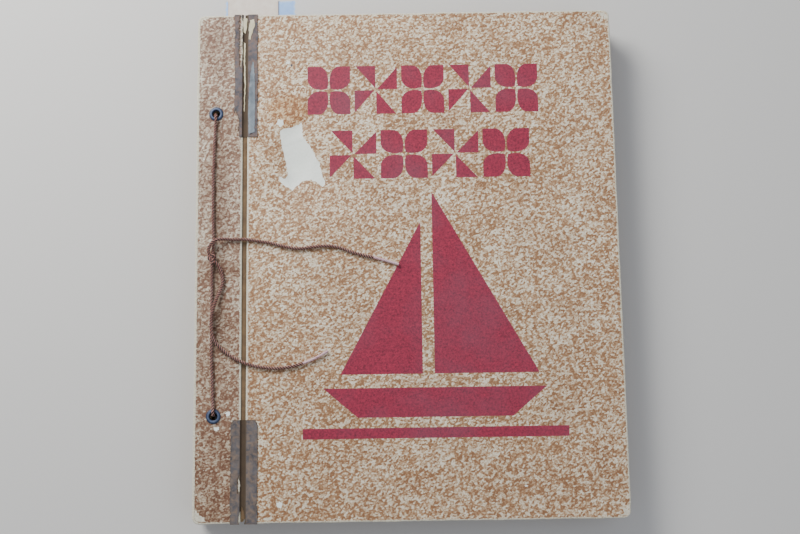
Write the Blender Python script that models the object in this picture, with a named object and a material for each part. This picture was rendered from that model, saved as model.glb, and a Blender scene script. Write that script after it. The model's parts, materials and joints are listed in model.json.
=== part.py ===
"""Cord-laced scrapbook album, closed and lying flat on its back cover.

+X runs from the laced edge to the open edge, +Y to the head of the album, +Z up.
The origin is on the surface that the back cover rests on, under the middle of the boards.
Each cover is two boards, a narrow laced strip and a wide cover board, joined by hinge cloth.
One cord laces both strips and all the leaves together and is knotted on the front strip.
"""

import math

import bmesh
import bpy
from mathutils import Vector

# Boards and the gutter between a strip and its cover board.
ALBUM_WIDTH = 0.252
ALBUM_LENGTH = 0.305
ALBUM_THICKNESS = 0.021
BOARD_THICKNESS = 0.0015
STRIP_WIDTH = 0.0276
GUTTER_WIDTH = 0.0039
CORNER_RADIUS = 0.0045
CORNER_STEPS = 6

# Clearance left between pieces that touch on the real album.
GAP = 0.0003

# The cord runs under the back strip, so that strip is carried this high.
BACK_STRIP_LIFT = 0.0031

# Eyelets, one at the head and one at the foot of each strip.
EYELET_INSET = 0.0122
EYELET_SPACING = 0.1808
EYELET_SHIFT = -0.0006
EYELET_BORE_RADIUS = 0.00225
EYELET_WALL = 0.00035
FLANGE_RADIUS = 0.0043
FLANGE_THICKNESS = 0.00045
ROLLED_RADIUS = 0.0035
ROLLED_THICKNESS = 0.0004
EYELET_SIDES = 24
BOARD_HOLE_RADIUS = 0.0029
LEAF_HOLE_RADIUS = 0.0025
HOLE_SIDES = 20

# Leaves, counted from the front. The turning ones bend at a scored line near the gutter.
TURNING_LEAVES = 8
LYING_LEAVES = 7
LEAF_THICKNESS = 0.0005
LEAF_PITCH = 0.0008
LEAF_INSET = 0.003
FIRST_SCORE = 0.0329
SCORE_STEP = 0.001
LEAF_START = 0.0005
MARGIN_END = 0.0001
SLOPE_START = 0.042
SLOPE_END = 0.06

# Paper tucked between the leaves at the head.
TUCKED_THICKNESS = 0.00025
TUCKED_LENGTH = 0.06
CARD_WIDTH = 0.0448
CARD_START = 0.015
SLIP_WIDTH = 0.0317
SLIP_START = 0.017
CARD_STANDS_PROUD = 0.013
SLIP_STANDS_PROUD = 0.0145

# Hinge cloth inside each cover, and the cloth tape over the gutter of the front one.
CLOTH_THICKNESS = 0.0004
CLOTH_ON_STRIP = 0.0086
CLOTH_ON_COVER = 0.0145
TAPE_THICKNESS = 0.0002
TAPE_DIP = 0.0011
TAPE_BEND = 0.0006
TAPE_ON_STRIP = 0.0046
TAPE_ON_COVER = 0.0062
HEAD_TAPE_LENGTH = 0.077
FOOT_TAPE_LENGTH = 0.059
TAPE_INSET = 0.0002

# Lacing cord and its knot.
CORD_DIAMETER = 0.0019
CORD_SPACING = 0.0045
CORD_TURN = math.radians(16)
KNOT_RADII = Vector((0.0022, 0.003, 0.0019))
UPPER_TIP_LENGTH = 0.0155
LOWER_TIP_LENGTH = 0.0165
TIP_DIAMETER = 0.0017

# Places worked out from the sizes above.
SPINE_X = -ALBUM_WIDTH / 2
OPEN_X = ALBUM_WIDTH / 2
STRIP_X = SPINE_X + STRIP_WIDTH
COVER_X = STRIP_X + GUTTER_WIDTH
HALF_LENGTH = ALBUM_LENGTH / 2
TOP_Z = ALBUM_THICKNESS
FRONT_INNER_Z = TOP_Z - BOARD_THICKNESS
BACK_INNER_Z = BACK_STRIP_LIFT + BOARD_THICKNESS
EYELET_X = SPINE_X + EYELET_INSET
HEAD_EYELET_Y = EYELET_SHIFT + EYELET_SPACING / 2
FOOT_EYELET_Y = EYELET_SHIFT - EYELET_SPACING / 2
CORD_RADIUS = CORD_DIAMETER / 2
CORD_REST = GAP + CORD_RADIUS
FIRST_LEAF_Z = FRONT_INNER_Z - GAP - CLOTH_THICKNESS - GAP - LEAF_THICKNESS
KNOT_CENTRE = Vector((-0.1152, 0.001, TOP_Z + GAP + KNOT_RADII.z))


def clear_scene():
    """Remove every object that the file starts with."""
    for old in list(bpy.data.objects):
        bpy.data.objects.remove(old, do_unlink=True)


def material(name, colour, roughness, metallic=0.0):
    """Plain Principled finish; colour is linear RGB."""
    made = bpy.data.materials.new(name)
    made.use_nodes = True
    shader = made.node_tree.nodes["Principled BSDF"]
    shader.inputs["Base Color"].default_value = (*colour, 1.0)
    shader.inputs["Roughness"].default_value = roughness
    shader.inputs["Metallic"].default_value = metallic
    return made


def add_object(name, data, finish):
    """Put mesh or curve data in the scene with its material."""
    data.materials.append(finish)
    made = bpy.data.objects.new(name, data)
    bpy.context.collection.objects.link(made)
    return made


def hinge_empty(name, x, z):
    """Empty on a hinge's axis, which runs along Y."""
    empty = bpy.data.objects.new(name, None)
    empty.location = (x, 0.0, z)
    empty.empty_display_size = 0.02
    bpy.context.collection.objects.link(empty)
    return empty


def hang_on(piece, empty):
    """Make a piece turn with its hinge, without moving it."""
    piece.parent = empty
    piece.matrix_parent_inverse.translation = -empty.location


def outline(x_low, x_high, y_low, y_high, spine_radius=0.0, open_radius=0.0):
    """Anticlockwise rectangle with rounded corners on either long edge."""
    corners = (
        (x_high, y_low, -1, 1, open_radius, -90),
        (x_high, y_high, -1, -1, open_radius, 0),
        (x_low, y_high, 1, -1, spine_radius, 90),
        (x_low, y_low, 1, 1, spine_radius, 180),
    )
    points = []
    for x, y, to_x, to_y, radius, start in corners:
        if radius == 0.0:
            points.append((x, y))
            continue
        for step in range(CORNER_STEPS + 1):
            angle = math.radians(start + 90 * step / CORNER_STEPS)
            centre_x = x + to_x * radius
            centre_y = y + to_y * radius
            points.append((centre_x + radius * math.cos(angle), centre_y + radius * math.sin(angle)))
    return points


def solid_from_face(name, points, lift, finish):
    """Extrude one flat face of 3-D points by a vector into a closed solid."""
    mesh = bpy.data.meshes.new(name)
    work = bmesh.new()
    face = work.faces.new([work.verts.new(point) for point in points])
    raised = bmesh.ops.extrude_face_region(work, geom=[face])
    moved = [item for item in raised["geom"] if isinstance(item, bmesh.types.BMVert)]
    bmesh.ops.translate(work, verts=moved, vec=lift)
    bmesh.ops.recalc_face_normals(work, faces=work.faces[:])
    work.to_mesh(mesh)
    work.free()
    return add_object(name, mesh, finish)


def flat_sheet(name, points, z_low, thickness, finish):
    """Flat plate from an outline seen from above."""
    corners = [(x, y, z_low) for x, y in points]
    return solid_from_face(name, corners, (0.0, 0.0, thickness), finish)


def bent_sheet(name, path, thickness, y_low, y_high, finish):
    """Sheet whose section follows a path of (x, z) points along its underside."""
    under = [(x, y_low, z) for x, z in path]
    over = [(x, y_low, z + thickness) for x, z in reversed(path)]
    return solid_from_face(name, under + over, (0.0, y_high - y_low, 0.0), finish)


def hole_cutter(name, radius):
    """Two upright cylinders through the whole album, on the eyelets' centres."""
    mesh = bpy.data.meshes.new(name)
    work = bmesh.new()
    for y in (HEAD_EYELET_Y, FOOT_EYELET_Y):
        made = bmesh.ops.create_cone(
            work, cap_ends=True, segments=HOLE_SIDES, radius1=radius, radius2=radius, depth=2 * TOP_Z
        )
        bmesh.ops.translate(work, verts=made["verts"], vec=(EYELET_X, y, TOP_Z / 2))
    work.to_mesh(mesh)
    work.free()
    cutter = bpy.data.objects.new(name, mesh)
    bpy.context.collection.objects.link(cutter)
    cutter.hide_render = True
    cutter.display_type = "WIRE"
    return cutter


def punch(piece, cutter):
    """Punch the two lacing holes through a piece."""
    cut = piece.modifiers.new("lacing_holes", "BOOLEAN")
    cut.operation = "DIFFERENCE"
    cut.solver = "EXACT"
    cut.object = cutter


def eyelet(name, y, face_z, facing, finish):
    """Set eyelet: a flange outside the board, a tube through it and a rolled edge inside.

    face_z is the board's outer face and facing is 1 for the front strip and -1 for the back one.
    """
    tube_radius = EYELET_BORE_RADIUS + EYELET_WALL
    flange_low = GAP
    flange_high = GAP + FLANGE_THICKNESS
    rolled_high = -BOARD_THICKNESS - GAP
    rolled_low = rolled_high - ROLLED_THICKNESS
    soften = FLANGE_THICKNESS / 2
    section = (
        (EYELET_BORE_RADIUS, flange_high - soften),
        (EYELET_BORE_RADIUS + soften, flange_high),
        (FLANGE_RADIUS - soften, flange_high),
        (FLANGE_RADIUS, flange_high - soften),
        (FLANGE_RADIUS - soften, flange_low),
        (tube_radius, flange_low),
        (tube_radius, rolled_high),
        (ROLLED_RADIUS, rolled_high),
        (ROLLED_RADIUS, rolled_low),
        (EYELET_BORE_RADIUS, rolled_low),
    )
    mesh = bpy.data.meshes.new(name)
    work = bmesh.new()
    ring = [work.verts.new((EYELET_X + r, y, face_z + facing * z)) for r, z in section]
    edges = [work.edges.new((a, b)) for a, b in zip(ring, ring[1:] + ring[:1])]
    bmesh.ops.spin(
        work,
        geom=ring + edges,
        cent=(EYELET_X, y, 0.0),
        axis=(0.0, 0.0, 1.0),
        angle=math.tau,
        steps=EYELET_SIDES,
        use_merge=True,
    )
    bmesh.ops.remove_doubles(work, verts=work.verts[:], dist=1e-6)
    bmesh.ops.recalc_face_normals(work, faces=work.faces[:])
    work.to_mesh(mesh)
    work.free()
    mesh.shade_smooth()
    mesh.set_sharp_from_angle(angle=math.radians(40))
    return add_object(name, mesh, finish)


def smooth_route(route, steps=40):
    """Catmull-Rom curve through a route, sampled finely."""
    stops = [Vector(point) for point in route]
    stops = [2 * stops[0] - stops[1]] + stops + [2 * stops[-1] - stops[-2]]
    fine = []
    for a, b, c, d in zip(stops, stops[1:], stops[2:], stops[3:]):
        for step in range(steps):
            t = step / steps
            pull = (c - a) * t + (2 * a - 5 * b + 4 * c - d) * t**2 + (3 * b - a - 3 * c + d) * t**3
            fine.append(b + pull / 2)
    fine.append(stops[-2])
    return fine


def spaced(fine, spacing):
    """Keep a point every spacing, and closer where the curve turns."""
    kept = [fine[0]]
    heading = (fine[1] - fine[0]).normalized()
    for here, ahead in zip(fine[1:-1], fine[2:]):
        turn = heading.angle((ahead - here).normalized(), 0.0)
        if (here - kept[-1]).length >= spacing or turn >= CORD_TURN:
            kept.append(here)
            heading = (ahead - here).normalized()
    if (fine[-1] - kept[-1]).length < spacing / 4 and len(kept) > 1:
        kept.pop()
    kept.append(fine[-1])
    return kept


def tube(name, points, diameter, finish):
    """Round cord with closed ends along a row of points."""
    curve = bpy.data.curves.new(name, "CURVE")
    curve.dimensions = "3D"
    curve.bevel_depth = diameter / 2
    curve.bevel_resolution = 2
    curve.use_fill_caps = True
    line = curve.splines.new("POLY")
    line.points.add(len(points) - 1)
    for stop, point in zip(line.points, points):
        stop.co = (*point, 1.0)
    return add_object(name, curve, finish)


def split_route(fine, tip_length):
    """Part a route into the cord and its stiffened tip, with the usual gap between them."""
    run = 0.0
    for index in range(len(fine) - 1, 0, -1):
        run += (fine[index] - fine[index - 1]).length
        if run >= tip_length:
            break
    tip = fine[index:]
    run = 0.0
    while run < GAP:
        run += (fine[index] - fine[index - 1]).length
        index -= 1
    return fine[: index + 1], tip


def build_boards(finish, cutter):
    """The two strips and the two cover boards."""
    strip = outline(SPINE_X, STRIP_X, -HALF_LENGTH, HALF_LENGTH, spine_radius=CORNER_RADIUS)
    cover = outline(COVER_X, OPEN_X, -HALF_LENGTH, HALF_LENGTH, open_radius=CORNER_RADIUS)
    front_strip = flat_sheet("front_strip", strip, FRONT_INNER_Z, BOARD_THICKNESS, finish)
    back_strip = flat_sheet("back_strip", strip, BACK_STRIP_LIFT, BOARD_THICKNESS, finish)
    punch(front_strip, cutter)
    punch(back_strip, cutter)
    front_cover = flat_sheet("front_cover", cover, FRONT_INNER_Z, BOARD_THICKNESS, finish)
    back_cover = flat_sheet("back_cover", cover, 0.0, BOARD_THICKNESS, finish)
    return front_cover, back_cover


def build_eyelets(finish):
    """One eyelet at the head and one at the foot of each strip."""
    for end, y in (("head", HEAD_EYELET_Y), ("foot", FOOT_EYELET_Y)):
        eyelet(f"front_eyelet_{end}", y, TOP_Z, 1, finish)
        eyelet(f"back_eyelet_{end}", y, BACK_STRIP_LIFT, -1, finish)


def build_hinge_cloths(finish):
    """Cloth inside each cover; the back one steps down from the raised strip."""
    cloth_low = -HALF_LENGTH + LEAF_INSET
    cloth_high = HALF_LENGTH - LEAF_INSET
    on_strip = STRIP_X - CLOTH_ON_STRIP
    on_cover = COVER_X + CLOTH_ON_COVER
    front_z = FRONT_INNER_Z - GAP - CLOTH_THICKNESS
    front_path = ((on_strip, front_z), (on_cover, front_z))
    front = bent_sheet("front_hinge_cloth", front_path, CLOTH_THICKNESS, cloth_low, cloth_high, finish)
    strip_z = BACK_INNER_Z + GAP
    cover_z = BOARD_THICKNESS + GAP
    back_path = (
        (on_strip, strip_z),
        (STRIP_X + GAP, strip_z),
        (COVER_X + BOARD_THICKNESS, cover_z),
        (on_cover, cover_z),
    )
    back = bent_sheet("back_hinge_cloth", back_path, CLOTH_THICKNESS, cloth_low, cloth_high, finish)
    return front, back


def build_tapes(finish):
    """Mending tape over the front gutter, dipping into it at the head and at the foot."""
    over = TOP_Z + GAP
    path = (
        (STRIP_X - TAPE_ON_STRIP, over),
        (STRIP_X, over),
        (STRIP_X + TAPE_BEND, over - TAPE_DIP),
        (COVER_X - TAPE_BEND, over - TAPE_DIP),
        (COVER_X, over),
        (COVER_X + TAPE_ON_COVER, over),
    )
    head_end = HALF_LENGTH - TAPE_INSET
    foot_end = -HALF_LENGTH + TAPE_INSET
    return [
        bent_sheet("mending_tape_head", path, TAPE_THICKNESS, head_end - HEAD_TAPE_LENGTH, head_end, finish),
        bent_sheet("mending_tape_foot", path, TAPE_THICKNESS, foot_end, foot_end + FOOT_TAPE_LENGTH, finish),
    ]


def build_leaves(finish, cutter):
    """Leaves from the front to the back, each with its two lacing holes."""
    low_y = -HALF_LENGTH + LEAF_INSET
    high_y = HALF_LENGTH - LEAF_INSET
    spine_edge = SPINE_X + GAP
    open_edge = OPEN_X - LEAF_INSET
    for number in range(TURNING_LEAVES):
        score_x = SPINE_X + FIRST_SCORE + number * SCORE_STEP
        z = FIRST_LEAF_Z - number * LEAF_PITCH
        hinge = hinge_empty(f"leaf_{number + 1:02d}_score", score_x, z + LEAF_THICKNESS / 2)
        margin = outline(spine_edge, score_x - MARGIN_END, low_y, high_y)
        page = outline(score_x + LEAF_START, open_edge, low_y, high_y)
        punch(flat_sheet(f"leaf_{number + 1:02d}_margin", margin, z, LEAF_THICKNESS, finish), cutter)
        hang_on(flat_sheet(f"leaf_{number + 1:02d}", page, z, LEAF_THICKNESS, finish), hinge)
    top_z = tucked_z(2) - GAP - LEAF_THICKNESS
    lowest_z = BOARD_THICKNESS + GAP + CLOTH_THICKNESS + 2 * GAP
    total_drop = top_z - (LYING_LEAVES - 1) * LEAF_PITCH - lowest_z
    for number in range(LYING_LEAVES):
        z = top_z - number * LEAF_PITCH
        drop = total_drop * number / (LYING_LEAVES - 1)
        path = (
            (spine_edge, z),
            (SPINE_X + SLOPE_START, z),
            (SPINE_X + SLOPE_END, z - drop),
            (open_edge, z - drop),
        )
        name = f"leaf_{TURNING_LEAVES + number + 1:02d}"
        punch(bent_sheet(name, path, LEAF_THICKNESS, low_y, high_y, finish), cutter)


def tucked_z(place):
    """Underside of the first or second tucked paper under the turning leaves."""
    last_turning = FIRST_LEAF_Z - (TURNING_LEAVES - 1) * LEAF_PITCH
    return last_turning - place * (GAP + TUCKED_THICKNESS)


def build_tucked_papers(slip_finish, card_finish):
    """Loose slip and card that stand out of the head."""
    slip_high = HALF_LENGTH + SLIP_STANDS_PROUD
    card_high = HALF_LENGTH + CARD_STANDS_PROUD
    slip_low = slip_high - TUCKED_LENGTH
    card_low = card_high - TUCKED_LENGTH
    slip_x = SPINE_X + SLIP_START
    card_x = SPINE_X + CARD_START
    slip = outline(slip_x, slip_x + SLIP_WIDTH, slip_low, slip_high)
    card = outline(card_x, card_x + CARD_WIDTH, card_low, card_high)
    flat_sheet("tucked_slip", slip, tucked_z(1), TUCKED_THICKNESS, slip_finish)
    flat_sheet("tucked_card", card, tucked_z(2), TUCKED_THICKNESS, card_finish)


def lacing_route():
    """Route of the laced cord from the knot, through both foot eyelets, back to the knot."""
    rim = CORD_RADIUS + GAP + 0.0001
    over_flange = TOP_Z + GAP + FLANGE_THICKNESS + rim
    on_board = TOP_Z + CORD_REST
    under_strip = CORD_RADIUS + 0.0001
    foot_rim = FOOT_EYELET_Y + EYELET_BORE_RADIUS
    head_rim = HEAD_EYELET_Y - EYELET_BORE_RADIUS
    foot_bore = foot_rim - rim
    head_bore = head_rim + rim
    back_bend = under_strip + rim
    return (
        (-0.1152, -0.0026, TOP_Z + 0.0016),
        (-0.1153, -0.0080, on_board),
        (-0.1152, -0.0300, on_board),
        (-0.1151, -0.0550, on_board),
        (-0.1143, -0.0760, on_board),
        (-0.1140, -0.0835, on_board),
        (EYELET_X, foot_rim + 0.0018, over_flange),
        (EYELET_X, foot_rim, over_flange),
        (EYELET_X, foot_bore + 0.0004, over_flange - 0.0004),
        (EYELET_X, foot_bore, over_flange - rim),
        (EYELET_X, foot_bore, BACK_INNER_Z + (TOP_Z - BACK_INNER_Z) / 2),
        (EYELET_X, foot_bore, back_bend),
        (EYELET_X, foot_bore + 0.0004, under_strip + 0.0004),
        (EYELET_X, foot_rim, under_strip),
        (EYELET_X, -0.0600, under_strip),
        (EYELET_X, 0.0, under_strip),
        (EYELET_X, 0.0600, under_strip),
        (EYELET_X, head_rim, under_strip),
        (EYELET_X, head_bore - 0.0004, under_strip + 0.0004),
        (EYELET_X, head_bore, back_bend),
        (EYELET_X, head_bore, BACK_INNER_Z + (TOP_Z - BACK_INNER_Z) / 2),
        (EYELET_X, head_bore, over_flange - rim),
        (EYELET_X, head_bore - 0.0004, over_flange - 0.0004),
        (EYELET_X, head_rim, over_flange),
        (EYELET_X, head_rim - 0.0018, over_flange),
        (-0.1140, 0.0835, on_board),
        (-0.1146, 0.0700, on_board),
        (-0.1151, 0.0430, on_board),
        (-0.1148, 0.0200, on_board),
        (-0.1145, 0.0110, on_board),
        (-0.1150, 0.0046, TOP_Z + 0.0016),
    )


def upper_tail_route():
    """Free end that leaves the knot towards the head, crosses the laced cord and lies on the cover."""
    on_board = TOP_Z + CORD_REST
    return (
        (-0.1170, 0.0044, TOP_Z + 0.0029),
        (-0.1169, 0.0072, TOP_Z + 0.0034),
        (-0.1153, 0.0102, TOP_Z + 0.0037),
        (-0.1126, 0.0122, TOP_Z + 0.0034),
        (-0.1090, 0.0129, TOP_Z + 0.0022),
        (-0.1055, 0.0129, TOP_Z + 0.0014),
        (-0.1020, 0.0127, on_board),
        (-0.0949, 0.0126, on_board),
        (-0.0872, 0.0114, on_board),
        (-0.0804, 0.0102, on_board),
        (-0.0719, 0.0079, on_board),
        (-0.0634, 0.0067, on_board),
        (-0.0550, 0.0076, on_board),
        (-0.0465, 0.0080, on_board),
        (-0.0397, 0.0068, on_board),
        (-0.0330, 0.0042, on_board),
        (-0.0253, 0.0020, on_board),
        (-0.0194, 0.0006, on_board),
        (-0.0126, -0.0013, on_board),
        (-0.0051, -0.0037, on_board),
    )


def lower_tail_route():
    """Free end that leaves the knot towards the foot, rides over the laced cord and curls back."""
    on_board = TOP_Z + CORD_REST
    return (
        (-0.1125, -0.0016, TOP_Z + 0.0020),
        (-0.1106, -0.0044, TOP_Z + 0.0014),
        (-0.1093, -0.0084, on_board),
        (-0.1089, -0.0128, on_board),
        (-0.1102, -0.0178, TOP_Z + 0.0013),
        (-0.1123, -0.0229, TOP_Z + 0.0023),
        (-0.1140, -0.0286, TOP_Z + 0.0035),
        (-0.1150, -0.0340, TOP_Z + 0.0036),
        (-0.1151, -0.0395, TOP_Z + 0.0036),
        (-0.1141, -0.0448, TOP_Z + 0.0034),
        (-0.1120, -0.0490, TOP_Z + 0.0023),
        (-0.1079, -0.0532, TOP_Z + 0.0013),
        (-0.1028, -0.0569, on_board),
        (-0.0969, -0.0599, on_board),
        (-0.0903, -0.0621, on_board),
        (-0.0836, -0.0633, on_board),
        (-0.0769, -0.0637, on_board),
        (-0.0702, -0.0632, on_board),
        (-0.0635, -0.0616, on_board),
        (-0.0568, -0.0592, on_board),
        (-0.0518, -0.0568, on_board),
        (-0.0472, -0.0541, on_board),
    )


def build_cord(cord_finish, tip_finish):
    """Laced cord, knot and the two free ends with their stiffened tips."""
    tube("lacing_cord", spaced(smooth_route(lacing_route()), CORD_SPACING * 2), CORD_DIAMETER, cord_finish)
    mesh = bpy.data.meshes.new("cord_knot")
    work = bmesh.new()
    bmesh.ops.create_icosphere(work, subdivisions=3, radius=1.0)
    bmesh.ops.scale(work, verts=work.verts[:], vec=KNOT_RADII)
    bmesh.ops.translate(work, verts=work.verts[:], vec=KNOT_CENTRE)
    work.to_mesh(mesh)
    work.free()
    mesh.shade_smooth()
    add_object("cord_knot", mesh, cord_finish)
    free_ends = []
    for end, route, tip_length in (
        ("upper", upper_tail_route(), UPPER_TIP_LENGTH),
        ("lower", lower_tail_route(), LOWER_TIP_LENGTH),
    ):
        tail, tip = split_route(smooth_route(route), tip_length)
        free_ends.append(tube(f"cord_tail_{end}", spaced(tail, CORD_SPACING), CORD_DIAMETER, cord_finish))
        free_ends.append(tube(f"cord_tip_{end}", spaced(tip, CORD_SPACING), TIP_DIAMETER, tip_finish))
    return free_ends


def build_album():
    """Model every piece of the album and hang the turning ones on their hinges."""
    clear_scene()
    board = material("speckled_board", (0.55, 0.36, 0.22), 0.75)
    cloth = material("brown_hinge_cloth", (0.06, 0.035, 0.02), 0.85)
    tape = material("brown_mending_tape", (0.09, 0.06, 0.045), 0.8)
    leaf = material("tan_leaf_paper", (0.52, 0.40, 0.26), 0.85)
    slip = material("peach_slip_paper", (0.75, 0.52, 0.36), 0.7)
    card = material("pale_card", (0.72, 0.74, 0.82), 0.6)
    cord = material("rust_twisted_cord", (0.25, 0.08, 0.05), 0.65)
    tip = material("stiffened_cord_tip", (0.42, 0.20, 0.17), 0.35)
    metal = material("blackened_eyelet", (0.03, 0.035, 0.045), 0.4, metallic=0.6)

    board_holes = hole_cutter("board_hole_cutter", BOARD_HOLE_RADIUS)
    leaf_holes = hole_cutter("leaf_hole_cutter", LEAF_HOLE_RADIUS)
    front_cover, back_cover = build_boards(board, board_holes)
    build_eyelets(metal)
    front_cloth, back_cloth = build_hinge_cloths(cloth)
    tapes = build_tapes(tape)
    build_leaves(leaf, leaf_holes)
    build_tucked_papers(slip, card)
    free_ends = build_cord(cord, tip)

    front_hinge = hinge_empty("front_cover_hinge", STRIP_X, FRONT_INNER_Z)
    back_hinge = hinge_empty("back_cover_hinge", STRIP_X, BACK_INNER_Z)
    for piece in [front_cover, front_cloth, *tapes, *free_ends]:
        hang_on(piece, front_hinge)
    for piece in (back_cover, back_cloth):
        hang_on(piece, back_hinge)


build_album()
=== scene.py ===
"""Looks of the cord-laced scrapbook album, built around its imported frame.

Boards, leaves and tapes are thin sheets that are cut from outlines, and the cord is twisted by
Geometry Nodes along its own route. Lengths are in metres, in the album's frame: +X from the laced
edge to the open edge, +Y to the head, +Z up.
"""

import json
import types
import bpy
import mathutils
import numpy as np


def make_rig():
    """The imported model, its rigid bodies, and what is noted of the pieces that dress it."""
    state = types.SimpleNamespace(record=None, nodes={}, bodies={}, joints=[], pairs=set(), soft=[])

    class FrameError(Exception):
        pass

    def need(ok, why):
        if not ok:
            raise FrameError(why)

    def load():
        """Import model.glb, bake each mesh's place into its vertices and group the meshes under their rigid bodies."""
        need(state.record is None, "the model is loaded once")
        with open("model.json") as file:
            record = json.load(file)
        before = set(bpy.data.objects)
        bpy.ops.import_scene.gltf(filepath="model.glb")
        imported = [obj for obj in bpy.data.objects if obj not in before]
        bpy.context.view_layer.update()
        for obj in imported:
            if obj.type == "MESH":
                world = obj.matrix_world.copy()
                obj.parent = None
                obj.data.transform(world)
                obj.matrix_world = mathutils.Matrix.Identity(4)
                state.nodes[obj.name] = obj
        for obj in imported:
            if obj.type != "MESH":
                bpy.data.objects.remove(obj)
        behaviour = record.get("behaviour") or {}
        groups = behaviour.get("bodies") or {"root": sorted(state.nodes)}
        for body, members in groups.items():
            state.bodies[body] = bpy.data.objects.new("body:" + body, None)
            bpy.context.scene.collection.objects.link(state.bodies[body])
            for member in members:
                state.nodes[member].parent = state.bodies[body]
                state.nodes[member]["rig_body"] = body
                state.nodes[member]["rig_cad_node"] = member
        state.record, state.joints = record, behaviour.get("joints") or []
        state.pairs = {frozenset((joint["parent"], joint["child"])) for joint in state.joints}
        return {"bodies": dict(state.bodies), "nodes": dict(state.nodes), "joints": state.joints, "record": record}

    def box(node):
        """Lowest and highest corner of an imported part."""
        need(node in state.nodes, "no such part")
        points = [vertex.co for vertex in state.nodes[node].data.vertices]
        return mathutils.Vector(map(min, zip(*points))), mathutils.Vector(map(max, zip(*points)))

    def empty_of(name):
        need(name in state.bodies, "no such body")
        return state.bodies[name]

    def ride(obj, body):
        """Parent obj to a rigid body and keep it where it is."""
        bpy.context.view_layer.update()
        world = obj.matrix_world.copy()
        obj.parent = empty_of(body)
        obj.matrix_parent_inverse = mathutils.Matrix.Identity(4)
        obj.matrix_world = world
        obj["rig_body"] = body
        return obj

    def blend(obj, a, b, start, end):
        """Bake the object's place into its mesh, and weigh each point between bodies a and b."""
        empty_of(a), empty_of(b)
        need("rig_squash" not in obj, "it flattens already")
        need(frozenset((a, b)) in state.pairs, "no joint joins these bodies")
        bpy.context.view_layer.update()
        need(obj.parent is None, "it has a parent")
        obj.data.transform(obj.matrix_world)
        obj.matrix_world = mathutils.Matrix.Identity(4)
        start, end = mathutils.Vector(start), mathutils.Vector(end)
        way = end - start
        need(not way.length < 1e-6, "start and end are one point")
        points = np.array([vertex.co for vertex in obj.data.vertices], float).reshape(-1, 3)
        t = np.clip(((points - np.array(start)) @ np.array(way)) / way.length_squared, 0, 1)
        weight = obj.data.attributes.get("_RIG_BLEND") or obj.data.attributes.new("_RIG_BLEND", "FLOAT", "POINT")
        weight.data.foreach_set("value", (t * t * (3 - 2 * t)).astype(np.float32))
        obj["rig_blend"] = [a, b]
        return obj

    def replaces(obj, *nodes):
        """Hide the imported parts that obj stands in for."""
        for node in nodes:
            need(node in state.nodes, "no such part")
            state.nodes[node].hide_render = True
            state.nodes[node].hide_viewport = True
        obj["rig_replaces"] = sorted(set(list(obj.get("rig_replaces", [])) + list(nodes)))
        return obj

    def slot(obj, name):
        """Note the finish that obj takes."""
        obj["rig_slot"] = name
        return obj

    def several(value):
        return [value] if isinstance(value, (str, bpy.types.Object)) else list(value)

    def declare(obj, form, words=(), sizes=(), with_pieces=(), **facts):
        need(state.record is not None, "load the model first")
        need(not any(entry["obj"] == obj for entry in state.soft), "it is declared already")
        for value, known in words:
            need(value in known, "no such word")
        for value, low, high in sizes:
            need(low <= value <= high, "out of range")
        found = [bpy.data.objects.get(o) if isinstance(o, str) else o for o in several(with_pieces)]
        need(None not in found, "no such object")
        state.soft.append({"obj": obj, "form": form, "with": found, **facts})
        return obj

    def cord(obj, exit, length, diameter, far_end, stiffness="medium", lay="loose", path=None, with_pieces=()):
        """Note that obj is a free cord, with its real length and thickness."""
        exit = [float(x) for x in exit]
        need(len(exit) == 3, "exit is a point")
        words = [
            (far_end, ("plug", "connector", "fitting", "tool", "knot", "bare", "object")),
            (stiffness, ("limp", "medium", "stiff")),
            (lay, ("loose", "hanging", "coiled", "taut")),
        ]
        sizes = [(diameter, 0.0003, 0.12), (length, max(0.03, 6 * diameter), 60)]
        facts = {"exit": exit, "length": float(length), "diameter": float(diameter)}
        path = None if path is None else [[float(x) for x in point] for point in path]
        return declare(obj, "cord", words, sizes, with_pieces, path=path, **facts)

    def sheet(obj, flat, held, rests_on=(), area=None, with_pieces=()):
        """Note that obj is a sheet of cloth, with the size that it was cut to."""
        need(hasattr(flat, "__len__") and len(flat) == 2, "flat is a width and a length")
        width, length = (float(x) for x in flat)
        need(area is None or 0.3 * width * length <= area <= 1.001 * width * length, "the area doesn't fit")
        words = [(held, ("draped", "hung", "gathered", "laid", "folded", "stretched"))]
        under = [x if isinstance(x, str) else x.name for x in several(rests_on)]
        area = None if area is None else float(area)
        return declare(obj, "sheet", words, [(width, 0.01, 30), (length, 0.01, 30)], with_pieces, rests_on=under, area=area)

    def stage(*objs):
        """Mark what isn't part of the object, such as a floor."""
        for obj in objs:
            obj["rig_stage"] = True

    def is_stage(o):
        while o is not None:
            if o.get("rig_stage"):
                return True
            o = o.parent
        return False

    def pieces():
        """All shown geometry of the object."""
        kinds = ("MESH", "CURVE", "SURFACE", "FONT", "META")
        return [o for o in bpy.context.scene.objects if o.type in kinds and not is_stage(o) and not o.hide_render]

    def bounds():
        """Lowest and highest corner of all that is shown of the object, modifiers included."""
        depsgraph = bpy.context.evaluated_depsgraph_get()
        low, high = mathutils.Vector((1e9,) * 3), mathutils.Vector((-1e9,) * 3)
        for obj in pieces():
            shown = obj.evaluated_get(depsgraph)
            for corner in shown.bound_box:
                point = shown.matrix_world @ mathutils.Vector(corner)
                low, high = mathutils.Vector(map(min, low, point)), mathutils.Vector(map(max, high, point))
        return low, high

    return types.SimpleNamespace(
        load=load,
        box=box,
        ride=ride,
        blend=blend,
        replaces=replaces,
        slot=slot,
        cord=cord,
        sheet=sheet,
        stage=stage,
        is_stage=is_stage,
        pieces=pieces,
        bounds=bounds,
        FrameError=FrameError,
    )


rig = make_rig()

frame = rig.load()

import json
import math
import random

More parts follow.
